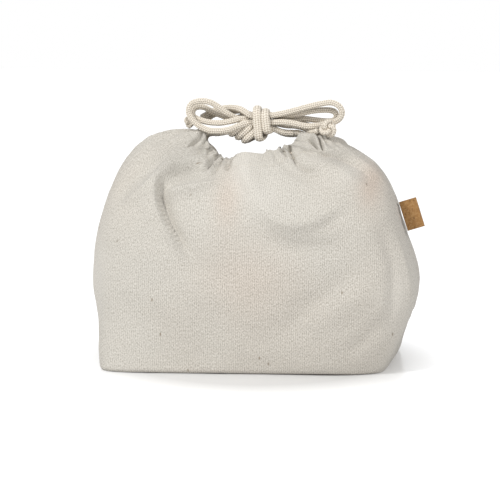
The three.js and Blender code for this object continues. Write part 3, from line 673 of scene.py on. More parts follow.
def stopperMesh(name, knot):
    line = evenly(stopperLine(knot), cordSize["ring"])[:-2]
    radius = stopperLook["thick"] * knot["size"]
    return cordMesh(name, line, radius, cordSize["heldSides"], cutEnds=False)


stoppers = {}
for side in ("left", "right"):
    obj = stopperMesh(side + "_stopper", stopperLook[side])
    stoppers[side] = setPiece(obj, "bow", "cotton_cord", side + "_stopper_knot")

bundles = {"front_bow": [wrapPiece, stoppers["right"]], "back_bow": [halfPiece, stoppers["left"]]}
for title, together in bundles.items():
    obj, line = strands[title]
for title in ("front_carry", "back_carry"):
    obj, line = strands[title]
print("bow ready")

bag = {"left": 107.6, "right": 111.0, "depth": 56.0, "leftShoulder": 155.5, "rightShoulder": 152.5,
       "mouth": 141.0, "canvas": 0.8, "rows": 176, "columns": 240}
# Where the mouth's dip starts and ends, in shares of the half width: low down, and left and right at its edge
dipShares = {"low": (0.2, 0.8), "left": (0.45, 0.85), "right": (0.34, 0.8), "fromLevel": 6.0}
# Shares of widths, shoulder height, depth and mouth height at ten levels, and how square the section is there
levelShares = {
    "left": (0.933, 0.931, 0.946, 1, 0.972, 0.898, 0.811, 0.697, 0.556, 0.412),
    "right": (0.887, 0.891, 0.95, 1, 0.927, 0.849, 0.761, 0.61, 0.519, 0.384),
    "rise": (0, 0.04, 0.195, 0.37, 0.57, 0.74, 0.862, 0.945, 0.985, 1),
    "depth": (0.893, 0.932, 0.985, 1, 0.95, 0.83, 0.67, 0.49, 0.35, 0.232),
    "mouth": (0, 0.043, 0.213, 0.405, 0.62, 0.76, 0.865, 0.935, 0.973, 1),
    "square": (9, 8.4, 5.2, 3.8, 3.4, 3, 2.6, 2.3, 2.1, 2),
}
topLevel = 9


def smoothStep(value, low, high):
    t = np.clip((value - low) / (high - low), 0, 1)
    return t * t * (3 - 2 * t)


# A level's share of a size, on a smooth curve through the ten
def shareAt(title, level):
    shares = np.array(levelShares[title], dtype=float)
    first = np.clip(np.floor(level).astype(int), 0, topLevel - 1)
    t = level - first
    a, b, c, d = [shares[np.clip(first + i, 0, topLevel)] for i in (-1, 0, 1, 2)]
    slopeB, slopeC = (c - a) / 2, (d - b) / 2
    start = (2 * t**3 - 3 * t**2 + 1) * b + (t**3 - 2 * t**2 + t) * slopeB
    return start + (3 * t**2 - 2 * t**3) * c + (t**3 - t**2) * slopeC


def halfWidth(isLeft, level):
    return np.where(isLeft, bag["left"] * shareAt("left", level), bag["right"] * shareAt("right", level))


# A point of the plain outer face (mm). Turn 0 is the left seam, pi / 2 the front's middle, pi the right seam.
def plainPoint(turn, level):
    turn, level = np.broadcast_arrays(np.asarray(turn, float), np.asarray(level, float))
    across, along = -np.cos(turn), -np.sin(turn)
    square = shareAt("square", level)
    reach = (np.abs(across) ** square + np.abs(along) ** square) ** (-1 / square)
    isLeft = across < 0
    blend = smoothStep(level, dipShares["fromLevel"], topLevel)
    start, end = [
        low + blend * (np.where(isLeft, left, right) - low)
        for low, left, right in zip(dipShares["low"], dipShares["left"], dipShares["right"])
    ]
    climb = smoothStep((np.abs(across * reach) - start) / (end - start), 0, 1)
    low = bag["mouth"] * shareAt("mouth", level)
    high = np.where(isLeft, bag["leftShoulder"], bag["rightShoulder"]) * shareAt("rise", level)
    x = across * reach * halfWidth(isLeft, level)
    y = along * reach * bag["depth"] * shareAt("depth", level)
    return np.stack([x, y, low + (high - low) * climb], -1)


def outwardOf(pointOf, turn, level, step=0.02):
    low, high = np.maximum(level - step, 0), np.minimum(level + step, topLevel)
    roundWay = pointOf(turn + step, level) - pointOf(turn - step, level)
    normal = np.cross(roundWay, pointOf(turn, high) - pointOf(turn, low))
    return normal / np.maximum(np.linalg.norm(normal, axis=-1), 1e-9)[..., None]


# Soft random values in space, from a lattice of fixed random numbers
def softNoise(points, size, seed, cells=16):
    lattice = np.random.RandomState(seed).rand(cells, cells, cells)
    p = points / size + 100.0  # well above 0, where the lattice repeats
    cell = np.floor(p).astype(int)
    t = p - cell
    t = t * t * (3 - 2 * t)
    total = 0.0
    for corner in np.ndindex(2, 2, 2):
        i, j, k = corner
        weight = np.abs(1 - i - t[..., 0]) * np.abs(1 - j - t[..., 1]) * np.abs(1 - k - t[..., 2])
        place = (cell + corner) % cells
        total = total + weight * lattice[place[..., 0], place[..., 1], place[..., 2]]
    return total - 0.5


# Main folds, the same as the solids have: kind, height, width (mm) and a path of turn and level
mainFolds = [
    ("ridge", 2.4, 6.5, [(0.74, 4.7), (0.86, 5.2), (0.93, 5.8), (0.95, 6.3), (1.02, 6.8)]),
    ("ridge", -2.4, 7.5, [(0.6, 4.6), (0.7, 5.2), (0.79, 5.8), (0.86, 6.4), (0.92, 7.1)]),
    ("ridge", -1.8, 5.6, [(0.99, 6.3), (0.98, 6), (1, 5.6), (1.03, 5), (1.08, 4.5), (1.14, 4.1), (1.2, 3.8)]),
    ("ridge", 2.0, 5.6, [(0.9, 6.2), (0.9, 5.9), (0.93, 5.45), (0.96, 4.9), (1.02, 4.35), (1.09, 3.9)]),
    ("ridge", -3.4, 6.0, [(0.99, 5.6), (1.04, 5.95), (1.1, 6.3), (1.17, 6.7), (1.23, 7.1)]),
    ("ridge", 2.6, 5.6, [(1.03, 4.9), (1.06, 5.3), (1.15, 5.55), (1.24, 5.9), (1.38, 6.7)]),
    ("ridge", 2.4, 7.0, [(1.46, 8), (1.54, 6.8), (1.65, 5.6), (1.72, 4.9), (1.81, 4.4), (1.92, 4.3),
                         (2.16, 4.9)]),
    ("ridge", -1.9, 7.0, [(1.6, 4.6), (1.7, 4.25), (1.86, 3.9), (2.04, 3.95), (2.19, 4.2), (2.33, 4.6)]),
    ("ridge", -3.4, 4.9, [(2.01, 8), (1.97, 7.3), (1.99, 6.75), (2.03, 6.3), (2.12, 6), (2.2, 5.9)]),
    ("ridge", 2.6, 7.0, [(2.1, 6.9), (2.17, 6.65), (2.25, 6.4), (2.35, 6.2), (2.41, 5.7), (2.4, 5.3)]),
    ("ridge", -2.2, 6.0, [(2.2, 7.4), (2.29, 6.9), (2.4, 6.45), (2.47, 6), (2.7, 5.6), (2.98, 5.2)]),
    ("ridge", -1.9, 5.6, [(2.47, 4.6), (2.45, 4.1), (2.47, 3.7), (2.41, 2.9), (2.4, 2.2), (2.4, 1.4)]),
    ("ridge", -1.4, 9.1, [(2.3, 3.7), (2.21, 3.45), (1.99, 2.8), (1.8, 2), (1.53, 1.5)]),
    ("ridge", 1.4, 8.0, [(2.32, 3.3), (2.25, 3.1), (2.06, 2.45), (1.9, 1.8)]),
    ("ridge", -3.1, 5.6, [(3.65, 7.8), (3.6, 6.7), (3.56, 5.7), (3.5, 4.6)]),
    ("ridge", 1.9, 6.3, [(3.83, 7.8), (3.8, 6.7), (3.76, 5.7), (3.7, 4.6)]),
    ("ridge", -3.6, 5.2, [(4.25, 7.8), (4.22, 6.7), (4.14, 5.6), (4.05, 4.6)]),
    ("ridge", 2.2, 6.3, [(4.42, 7.8), (4.4, 6.7), (4.34, 5.6), (4.28, 4.8)]),
    ("ridge", -3.4, 5.6, [(4.9, 7.8), (4.93, 6.8), (4.98, 5.6), (5.06, 4.4)]),
    ("ridge", 2.2, 6.3, [(5.08, 7.8), (5.12, 6.8), (5.2, 5.7), (5.3, 4.6)]),
    ("ridge", -3.1, 5.6, [(5.5, 7.8), (5.55, 6.7), (5.63, 5.6), (5.75, 4.6)]),
    ("ridge", 1.9, 9.1, [(4.1, 5.6), (4.4, 4.7), (4.9, 4.4), (5.3, 4.9)]),
    ("ridge", -1.9, 8.0, [(4, 4.7), (4.4, 3.9), (4.9, 3.7), (5.4, 4.2)]),
    ("ridge", -1.4, 9.1, [(3.8, 3.2), (4.2, 2.4), (4.7, 1.8)]),
    ("ridge", 1.4, 9.1, [(5.6, 3.6), (5.2, 2.9), (4.9, 2)]),
]
# Creases over the main folds. The cloth drops to the right of a tuck's path, and a slit is a narrow valley.
fineFolds = [
    ("tuck", -7.6, 1.3, [(0.947, 6.05), (0.973, 5.46), (0.99, 5.18), (1.021, 4.9), (1.066, 4.62),
                         (1.119, 4.28), (1.172, 4.0), (1.24, 3.65),
                         (1.3, 3.35)]),
    ("tuck", -3.4, 1.9, [(0.985, 5.05), (1.008, 5.18), (1.039, 5.42), (1.106, 5.66), (1.194, 5.92),
                         (1.301, 6.26), (1.4, 6.6)]),
    ("ridge", -1.6, 7.0, [(0.937, 6.3), (1.026, 6.3), (1.132, 6.5), (1.23, 6.6)]),
    ("tuck", -2.0, 2.2, [(0.7, 4.6), (0.75, 4.85), (0.82, 5.1), (0.875, 5.44), (0.893, 5.9), (0.897, 6.36),
                         (0.937, 7.0)]),
    ("tuck", -3.6, 0.8, [(1.04, 8.95), (1.106, 8.28), (1.15, 7.64), (1.194, 6.98), (1.194, 6.5)]),
    ("tuck", -3.8, 0.8, [(1.12, 8.95), (1.172, 8.28), (1.243, 7.34), (1.274, 6.62), (1.247, 6.2)]),
    ("tuck", -3.4, 0.8, [(1.21, 8.95), (1.261, 8.3), (1.301, 7.86), (1.371, 7.04), (1.4, 6.7)]),
    ("slit", -2.2, 1.0, [(1.3, 8.95), (1.327, 8.32), (1.349, 7.88), (1.39, 7.2)]),
    ("slit", -1.6, 0.9, [(0.74, 8.95), (0.8, 8.44), (0.849, 8.06), (0.911, 7.54), (0.94, 7.2)]),
    ("slit", -0.8, 0.9, [(0.8, 8.95), (0.862, 8.5), (0.91, 8.0)]),
    ("tuck", -1.6, 0.9, [(0.9, 8.95), (0.942, 8.6), (1.017, 8.3), (1.06, 7.8)]),
    ("slit", -1.4, 1.4, [(0.5, 8.95), (0.62, 8.0), (0.74, 7.3)]),
    ("tuck", -1.6, 3.2, [(1.62, 5.3), (1.602, 5.48), (1.54, 6.1), (1.46, 7.12), (1.36, 8.2), (1.314, 8.9)]),
    ("ridge", 1.2, 9.0, [(1.5, 9.0), (1.53, 8.0), (1.6, 6.9), (1.66, 6.0)]),
    ("tuck", -3.4, 4.2, [(2.3, 5.0), (2.138, 4.66), (2.009, 4.42), (1.89, 4.34), (1.783, 4.48), (1.71, 4.9),
                         (1.64, 5.4)]),
    ("tuck", -2.8, 0.8, [(1.84, 8.95), (1.846, 8.34), (1.837, 7.5), (1.82, 7.0)]),
    ("tuck", -2.8, 0.8, [(2.02, 8.95), (1.992, 8.56), (1.978, 8.14), (1.94, 7.6)]),
    ("tuck", -4.4, 0.9, [(2.13, 8.95), (2.098, 8.58), (2.067, 8.36), (2.027, 7.78), (2.023, 7.12),
                         (2.036, 6.66), (2.076, 6.38), (2.2, 6.1)]),
    ("slit", -3.4, 0.9, [(2.12, 8.75), (2.098, 8.58), (2.067, 8.36), (2.027, 7.78), (2.023, 7.3),
                         (2.03, 6.9)]),
    ("tuck", -2.6, 1.0, [(2.42, 6.8), (2.328, 6.98), (2.253, 7.36), (2.196, 7.94), (2.235, 8.54)]),
    ("slit", -3.4, 0.9, [(2.4, 8.6), (2.359, 8.18), (2.315, 7.66), (2.306, 7.24), (2.31, 7.0)]),
    ("slit", -3.4, 0.9, [(2.52, 8.6), (2.466, 8.16), (2.399, 7.68), (2.351, 7.12), (2.34, 6.9)]),
    ("slit", -1.6, 1.5, [(2.68, 8.9), (2.55, 8.0), (2.45, 7.4)]),
    ("tuck", -1.8, 2.4, [(2.95, 5.3), (2.878, 5.5), (2.687, 5.9), (2.616, 6.3), (2.59, 6.7), (2.532, 7.0),
                         (2.404, 7.35)]),
    ("slit", -1.6, 1.8, [(2.66, 5.7), (2.594, 6.1), (2.515, 6.42), (2.448, 6.66), (2.328, 6.98),
                         (2.213, 7.66)]),
    ("ridge", 1.2, 3.0, [(2.62, 4.3), (2.62, 3.7), (2.58, 2.9), (2.54, 2.1)]),
    ("ridge", -1.5, 6.0, [(2.4, 2.6), (2.347, 2.32), (2.221, 1.65), (2.112, 1.3)]),
    ("ridge", -1.2, 10.0, [(1.2, 3.6), (1.287, 3.43), (1.475, 3.18), (1.6, 3.1)]),
    ("ridge", -1.4, 8.0, [(0.5, 3.6), (0.62, 3.0), (0.66, 2.2)]),
    ("ridge", 1.0, 9.0, [(1.0, 3.0), (1.15, 2.4), (1.4, 2.0)]),
]


# Pleats of the back, which the photograph doesn't show: they run down from the mouth
hiddenPleats = {
    "count": 15, "seed": 7, "span": (1.04, 1.96), "top": 8.8,  # span in half turns
    "lengths": (1.2, 2.6, 1.6), "longer": 0.8, "kinds": ("tuck", "slit"), "spread": 0.12, "drift": 0.08,
    "depth": (1.6, 0.8), "width": (1.2, 0.5),  # the least, and how much more it may be (mm)
}


def hiddenFolds(form):
    pick = np.random.RandomState(form["seed"])
    first, last = form["span"]
    made = []
    for k in range(form["count"]):
        turn = np.pi * (first + (last - first) * (k + 0.5 + 0.5 * (pick.rand() - 0.5)) / form["count"])
        length = form["lengths"][k % 3] + form["longer"] * pick.rand()
        drift = (turn - 1.5 * np.pi) * form["spread"] + form["drift"] * (pick.rand() - 0.5)
        path = [(turn + drift * s * s, form["top"] - length * s) for s in (0, 0.3, 0.6, 1.0)]
        depth = form["depth"][0] + form["depth"][1] * pick.rand()
        width = form["width"][0] + form["width"][1] * pick.rand()
        made.append((form["kinds"][k % 2], -depth, width, path))
    return made


# How a fold's height runs across it and along it. Reach is in widths, a lip is a small rise beside the fold
# (its height, place and width), and the fades are shares of the fold's length.
foldForm = {
    "step": 0.12, "reach": {"ridge": 4.0, "slit": 4.0, "tuck": 16.0}, "tuckTail": 4.5,
    "tuckLip": (0.32, -1.7, 1.3), "slitLip": (0.35, 2.3, 1.1),
    "fadeIn": 0.3, "fadeOut": 0.4, "mouthLevel": 8.7,
}


def lipAt(x, lip):
    height, place, width = lip
    return height * np.exp(-((x - place) / width) ** 2)


# For points (mm) near a line on the cloth: how far it is, how far along it, and on which side of it they lie
def nearestOn(line, points, normals):
    run = runAlong(line)
    best = np.full(len(points), np.inf)
    along = np.zeros(len(points))
    side = np.ones(len(points))
    for a, b, start, end in zip(line[:-1], line[1:], run[:-1], run[1:]):
        ab = b - a
        t = np.clip(((points - a) @ ab) / max(ab @ ab, 1e-9), 0, 1)
        apart = points - a - t[:, None] * ab
        distance = np.linalg.norm(apart, axis=1)
        closer = distance < best
        side[closer] = np.sign((np.cross(ab, apart) * normals).sum(1))[closer]
        best[closer] = distance[closer]
        along[closer] = (start + t * (end - start))[closer]
    return best, along / run[-1], side


# How far points of the plain face are lifted by one fold
def foldLift(points, normals, kind, height, width, path):
    fine = smoothRoute([(turn, level, 0.0) for turn, level in path], foldForm["step"])
    line = plainPoint(fine[:, 0], np.clip(fine[:, 1], 0, topLevel))
    reach = foldForm["reach"][kind] * width
    lift = np.zeros(len(points))
    near = np.all((points > line.min(0) - reach) & (points < line.max(0) + reach), axis=1)
    if not near.any():
        return lift
    distance, share, side = nearestOn(line, points[near], normals[near])
    startsAtMouth = path[0][1] > foldForm["mouthLevel"]
    fadeIn = 1.0 if startsAtMouth else smoothStep(share, 0, foldForm["fadeIn"])
    x = distance / width
    if kind == "ridge":
        shape = np.exp(-x * x)
    elif kind == "tuck":
        x = x * side
        shape = smoothStep(x, -1, 1) * np.exp(-np.maximum(x, 0) / foldForm["tuckTail"])
        shape -= lipAt(x, foldForm["tuckLip"])
    else:
        shape = 1 / (1 + x * x) ** 2 - lipAt(x, foldForm["slitLip"])
    lift[near] = height * (fadeIn * smoothStep(1 - share, 0, foldForm["fadeOut"])) * shape
    return lift


allFolds = mainFolds + fineFolds + hiddenFolds(hiddenPleats)
# Height of the mouth's edge (mm) along the front and along the back, by its place across the bag
frontRim = [
    (-45, 155.5), (-36, 155.3), (-33.4, 154.4), (-32.3, 152), (-31.2, 147.5), (-29, 144.8), (-25, 141),
    (-20.6, 137.6), (-17.5, 136.6), (-15.3, 136.6), (-13, 137.6), (-10.3, 139.5), (-7.5, 141), (-3.8, 141.5),
    (3.6, 140.7), (8, 140.3), (10, 142.2), (12.2, 143.0), (14.5, 142.4), (17, 143.4), (20, 143.6),
    (22, 144.7), (24.8, 146), (27.5, 147.6), (29.8, 150.4), (31, 153.4), (33, 154.6), (37, 154), (43, 152.5),
]
backRim = [
    (-45, 155.5), (-41, 153.5), (-37.5, 148), (-34, 142.8), (-30, 138.4), (-25, 134.6), (-19, 131.4),
    (-14, 133.6), (-8, 135.8), (0, 135.8), (4, 135.4), (10, 136.4), (14, 137.8), (20, 139.4), (24, 141.4),
    (27, 144.2), (30, 147.8), (34, 151.4), (38, 152.8), (43, 152.5),
]
# Lumps in the cloth: how wide they are and how high they stand (mm), and the seed of their noise
clothLumps = [(46.0, 3.0, 3), (19.0, 1.3, 5), (7.0, 0.45, 9)]
fineLumps = (2.6, 0.12, 11)
# The gathers round the mouth, and the hump in the middle of its front where the cloth lies smooth
gathers = {"count": 44, "height": 0.8, "wander": 5.0, "wanderSize": 24.0, "seed": 13, "slant": 1.3,
           "levels": (6.9, 8.4), "humpPlace": 3, "humpWidth": 9, "humpShare": 0.85}
# The side seams lie in a groove, and the cloth puckers along them
seamForm = {"half": 60, "groove": 0.9, "width": 1.6, "levels": (0.2, 1.0),
            "pucker": 0.35, "rate": 0.85, "puckerWidth": 5.0}
# The base as it stands in the photograph: its front edge swings out on the left and in on the right, and its
# front corners draw in
baseForm = {"round": 1.0, "roundHeight": 3.2, "levels": (0.4, 2.6), "front": (10, 46), "backEdge": 50.0,
            "swing": 8.6, "forward": 1.6, "half": 90.0, "corner": 8.5, "leftCorner": 3.5, "cornerStart": 60.0}
rimLevels = (6.0, 9.0)  # the cloth between them is drawn along with the mouth's edge
rimShift = {}


def shiftBase(out, base, level):
    low = 1 - smoothStep(level, *baseForm["levels"])
    front = smoothStep(-base[:, 1], *baseForm["front"])
    swing = baseForm["swing"] * np.clip(base[:, 0] / baseForm["half"], -1, 1)
    out[:, 1] += (swing - baseForm["forward"]) * front * low
    ahead = np.clip(0.5 - 0.5 * base[:, 1] / baseForm["backEdge"], 0, 1) * low
    corner = (baseForm["cornerStart"], baseForm["half"])
    out[:, 0] -= baseForm["corner"] * smoothStep(base[:, 0], *corner) * ahead
    out[:, 0] += baseForm["leftCorner"] * smoothStep(-base[:, 0], *corner) * ahead


# The lunch bag's outer face with its folds, gathers and creases (mm)
def skinPoint(turn, level):
    turn, level = np.broadcast_arrays(np.asarray(turn, float), np.asarray(level, float))
    shape = turn.shape
    turn, level = turn.ravel(), level.ravel()
    base = plainPoint(turn, level)
    normal = outwardOf(plainPoint, turn, level)
    lift = np.zeros(len(base))
    for kind, height, width, path in allFolds:
        lift += foldLift(base, normal, kind, height, width, path)
    calm = smoothStep(level, 0, 1.2) * (1 - 0.7 * smoothStep(level, 7.6, 9))
    lift += calm * sum(height * softNoise(base, size, seed) for size, height, seed in clothLumps)
    size, height, seed = fineLumps
    lift += height * softNoise(base, size, seed)
    wander = gathers["wander"] * softNoise(base, gathers["wanderSize"], gathers["seed"])
    ripple = np.sin(gathers["count"] * turn + wander + gathers["slant"] * level)
    hump = np.exp(-((base[:, 0] - gathers["humpPlace"]) / gathers["humpWidth"]) ** 2) * (base[:, 1] < 0)
    ripple = ripple * smoothStep(level, *gathers["levels"]) * (1 - gathers["humpShare"] * hump)
    lift += gathers["height"] * ripple
    seam = np.abs(np.sin(turn)) * seamForm["half"]
    groove = np.exp(-(seam / seamForm["width"]) ** 2) * smoothStep(level, *seamForm["levels"])
    lift -= seamForm["groove"] * groove
    pucker = np.sin(base[:, 2] * seamForm["rate"]) * np.exp(-(seam / seamForm["puckerWidth"]) ** 2)
    lift += seamForm["pucker"] * pucker * calm
    out = base + normal * lift[:, None]
    shiftBase(out, base, level)
    under = baseForm["round"] * np.clip(1 - out[:, 2] / baseForm["roundHeight"], 0, 1) ** 2
    out -= normal * under[:, None]
    if rimShift:
        shift = np.interp(np.mod(turn, 2 * np.pi), rimShift["turn"], rimShift["rise"], period=2 * np.pi)
        out[:, 2] += shift * smoothStep(level, *rimLevels)
    out[:, 2] = np.maximum(out[:, 2], 0.0)
    return out.reshape(shape + (3,))


def skinNormal(turn, level):
    return outwardOf(skinPoint, turn, level, 0.03)


# The mouth's edge goes to its measured heights, and the cloth below it is drawn along
def fitRim(steps=1200):
    turn = np.linspace(0, 2 * np.pi, steps, endpoint=False)
    edge = skinPoint(turn, np.full(steps, float(topLevel)))
    front = np.interp(edge[:, 0], *zip(*frontRim))
    back = np.interp(edge[:, 0], *zip(*backRim))
    rimShift["turn"] = turn
    rimShift["rise"] = np.where(turn < np.pi, front, back) - edge[:, 2]


fitRim()


def insideSkin(turn, level, depth):
    turn, level = np.broadcast_arrays(np.asarray(turn, float), np.asarray(level, float))
    depth = np.broadcast_to(np.asarray(depth, float), turn.shape)[..., None]
    return skinPoint(turn, level) - depth * skinNormal(turn, level)


# The turn at which the plain face has a place across the bag
def turnAt(x, level, isBack=False):
    square = shareAt("square", level)
    across = np.clip(np.abs(x) / halfWidth(x < 0, level), 0, 1)
    angle = np.arctan2((1 - across**square) ** (1 / square), across)
    angle = np.where(x < 0, angle, np.pi - angle)
    return 2 * np.pi - angle if isBack else angle


# A point inside the wall, a length down from the mouth's edge
def belowMouth(x, length, depth, isBack=False):
    x, length = np.broadcast_arrays(np.asarray(x, float), np.asarray(length, float))
    top = np.full(x.shape, float(topLevel))
    rim = plainPoint(turnAt(x, top), top)
    span = np.linalg.norm(rim - plainPoint(turnAt(x, top - 1), top - 1), axis=-1)
    level = topLevel - length / span
    return insideSkin(turnAt(x, level, isBack), level, depth)


# Radius of the rolled edge, its steps round half a turn, and the length and number of straight rows after it
hemEdge = {"radius": 1.15, "steps": 6, "row": 1.0, "rows": 2}
# Columns crowd together at the seams and the middle, and rows at the gathered mouth. Apart is the panels' gap
# from the seam.
panelGrid = {"crowd": 0.02, "rowShares": (0, 0.62, 1), "levels": (0, 6, topLevel), "apart": 0.15}


def hemRows(points, outward):
    up = points[-1] - points[-3]
    up /= np.linalg.norm(up, axis=1)[:, None]
    radius, rows = hemEdge["radius"], []
    for k in range(1, hemEdge["steps"] + 1):
        angle = math.pi * k / hemEdge["steps"]
        rows.append(points[-1] + up * radius * math.sin(angle) - outward * radius * (1 - math.cos(angle)))
    return rows + [rows[-1] - up * hemEdge["row"] * (k + 1) for k in range(hemEdge["rows"])]


# Each panel ends in a rolled hem edge: the last rows turn in over the mouth
def panelMesh(name, isBack):
    columns, rows = bag["columns"], bag["rows"]
    share = np.linspace(0, 1, columns + 1)
    turn = np.pi * (share - panelGrid["crowd"] * np.sin(8 * np.pi * share)) + (np.pi if isBack else 0)
    level = np.interp(np.linspace(0, 1, rows + 1), panelGrid["rowShares"], panelGrid["levels"])
    points = skinPoint(*np.meshgrid(turn, level))
    points[..., 1] += panelGrid["apart"] if isBack else -panelGrid["apart"]
    outward = skinNormal(turn, np.full(columns + 1, float(topLevel)))
    points = np.concatenate([points, np.array(hemRows(points, outward))])
    stepAcross = np.linalg.norm(np.diff(points, axis=1), axis=2)
    u = np.concatenate([np.zeros((len(points), 1)), np.cumsum(stepAcross, axis=1)], axis=1)
    u -= u[:, [columns // 2]]
    stepUp = np.linalg.norm(np.diff(points, axis=0), axis=2)
    v = np.concatenate([np.zeros((1, columns + 1)), np.cumsum(stepUp, axis=0)])
    obj = gridMesh(name, points, np.stack([u, v], -1) * mm, canvasSkin)
    thicken(obj, bag["canvas"])
    return obj


# Painted light and shade on the front, and a pink tint: rows that paint the cloth paler where light falls and
# greyer where shade falls, and rows that make it pinker (blush). Each gives its place across and up, its half
# widths (mm) and its strength
frontPatches = {
    "paintedLightAndShade": [(-54, 140, 13, 9, -0.8), (-44, 131, 10, 8, -1.1), (-4, 134, 8, 16, 1.0), (11, 117, 12, 12, 0.6),
             (59, 140, 9, 5, -1.1), (44, 88, 26, 8, -0.7), (-100, 62, 9, 30, 0.7), (100, 51, 10, 26, 0.7),
             (66, 130, 13, 8, 0.6)],
    "blush": [(-11, 114, 9, 18, 0.7), (80, 123, 8, 14, 1.0), (1, 65, 30, 24, 0.5)],
}


# Writes the rows onto the panel's points as attributes, the painted light and shade among them
def tintPanel(obj, patches):
    place = np.empty(len(obj.data.vertices) * 3)
    obj.data.vertices.foreach_get("co", place)
    place = place.reshape(-1, 3) / mm
    across, up = place[:, 0], place[:, 2]
    for name, rows in patches.items():
        share = np.zeros(len(across))
        for x, z, wide, high, much in rows:
            share += much * np.exp(-((across - x) / wide) ** 2 - ((up - z) / high) ** 2)
        obj.data.attributes.new(name, "FLOAT", "POINT").data.foreach_set("value", share.astype(np.float32))
    return obj


setPiece(tintPanel(panelMesh("front_canvas", False), frontPatches), "bag", "canvas", "front_panel")
setPiece(panelMesh("back_canvas", True), "bag", "canvas", "back_panel")
print("canvas panels ready")

# The folded-in hem. Below is from the mouth's edge, and belly is how far it stands off the panel.
facing = {"half": 20, "below": 1.4, "height": 13.5, "inside": 2.0, "belly": 5.76, "columns": 81, "rows": 25,
          "flat": 14, "thickness": 0.7}


def facingMesh(name, isBack):
    x = np.linspace(-facing["half"], facing["half"], facing["columns"])
    xs, ups = np.meshgrid(x, np.linspace(0, 1, facing["rows"]))
    depth = facing["inside"] + facing["belly"] * np.sin(np.pi * ups) ** 0.5
    points = belowMouth(xs, facing["below"] + facing["height"] * (1 - ups), depth, isBack)
    uv = np.stack([xs, facing["flat"] * ups], -1) * mm
    if isBack:
        points, uv = points[:, ::-1], uv[:, ::-1]
    obj = gridMesh(name, points, uv, canvasSkin)
    thicken(obj, facing["thickness"])
    return obj


# The row of stitches that holds a panel's folded hem down; step is that of the line that they follow
hemStitch = {"below": 13.6, "reach": 37.0, "length": 2.3, "pitch": 3.3, "radius": 0.24, "proud": 0.12,
             "step": 0.1, "around": 10, "rings": 8}


def stitchesMesh(name, isBack):
    size = hemStitch
    x = np.linspace(-size["reach"], size["reach"], 600)
    line = evenly(belowMouth(x, size["below"], -size["proud"], isBack), size["step"])
    length, pitch = round(size["length"] / size["step"]), round(size["pitch"] / size["step"])
    bm = bmesh.new()
    for first in range(0, len(line) - length - 1, pitch):
        start, end = Vector(line[first]), Vector(line[first + length])
        lean = (end - start).to_track_quat("X", "Z").to_matrix().to_4x4()
        shape = Matrix.Diagonal((size["length"] / 2 * mm, size["radius"] * mm, size["radius"] * mm, 1))
        place = Matrix.Translation((start + end) / 2 * mm) @ lean @ shape
        around, rings = size["around"], size["rings"]
        bmesh.ops.create_uvsphere(bm, u_segments=around, v_segments=rings, radius=1, matrix=place)
    return meshObject(name, bm, threadSkin)


for name, isBack in (("front", False), ("back", True)):
    setPiece(stitchesMesh(name + "_hem_stitches", isBack), "bag", "canvas")
for name, isBack in (("front", False), ("back", True)):
    setPiece(facingMesh(name + "_tunnel", isBack), "bag", "canvas", name + "_hem_facing")

# Tapes over the raw seam edges. Inside is how far in from the outer face their edges lie, and belly how much
# further their middle.
sideTape = {"half": 4.0, "levels": (4 / 3, 23 / 3), "inside": 1.75, "belly": 0.5, "rows": 90, "columns": 13,
            "thickness": 0.7}
baseTape = {"heights": (1.9, 8.4), "inside": 1.8, "belly": 0.4, "rows": 9, "columns": 241, "thickness": 0.7,
            "levelHeights": (0, 6.06, 30.0)}  # heights of the first three levels


def sideTapeMesh(name, middle):
    size = sideTape
    level = np.linspace(*size["levels"], size["rows"])
    across = np.linspace(-1, 1, size["columns"])
    spread = np.arcsin(size["half"] / (bag["depth"] * shareAt("depth", level)))
    turns = middle + spread[:, None] * across[None, :]
    levels = np.broadcast_to(level[:, None], turns.shape)
    depth = size["inside"] + size["belly"] * np.cos(np.pi / 2 * across) ** 0.5
    points = insideSkin(turns, levels, depth[None, :])
    run = runAlong(points[:, size["columns"] // 2])
    uv = np.stack(np.broadcast_arrays(size["half"] * across[None, :], run[:, None]), -1) * mm
    obj = gridMesh(name, points, uv, tapeSkin)
    thicken(obj, size["thickness"])
    return obj


def baseTapeMesh(name):
    size = baseTape
    heights = np.linspace(*size["heights"], size["rows"])
    share = (heights - heights[0]) / (heights[-1] - heights[0])
    level = np.interp(heights, size["levelHeights"], (0, 1, 2))
    turns, levels = np.meshgrid(2 * np.pi * np.linspace(0, 1, size["columns"]), level)
    points = insideSkin(turns, levels, size["inside"] + size["belly"] * np.sin(np.pi * share)[:, None])
    points[..., 2] = heights[:, None]
    points[:, -1] = points[:, 0]
    run = runAlong(points[size["rows"] // 2])
    uv = np.stack(np.broadcast_arrays(run[None, :], heights[:, None]), -1) * mm
    obj = gridMesh(name, points, uv, tapeSkin)
    weld(obj)
    thicken(obj, size["thickness"])
    return obj


setPiece(sideTapeMesh("left_seam_tape", 0.0), "bag", "binding_tape", "left_seam_binding")
setPiece(sideTapeMesh("right_seam_tape", math.pi), "bag", "binding_tape", "right_seam_binding")
setPiece(baseTapeMesh("base_seam_tape"), "bag", "binding_tape", "base_seam_binding")

# The base lies inside the panels' lower edge and sags in soft lumps that fade out towards its rim
baseSheet = {"rings": 26, "around": 160, "inside": 1.9, "height": 1.1, "lump": 0.3, "lumpSize": 22.0,
             "seed": 21, "hole": 0.002, "closeWithin": 0.01, "thickness": 1.0}


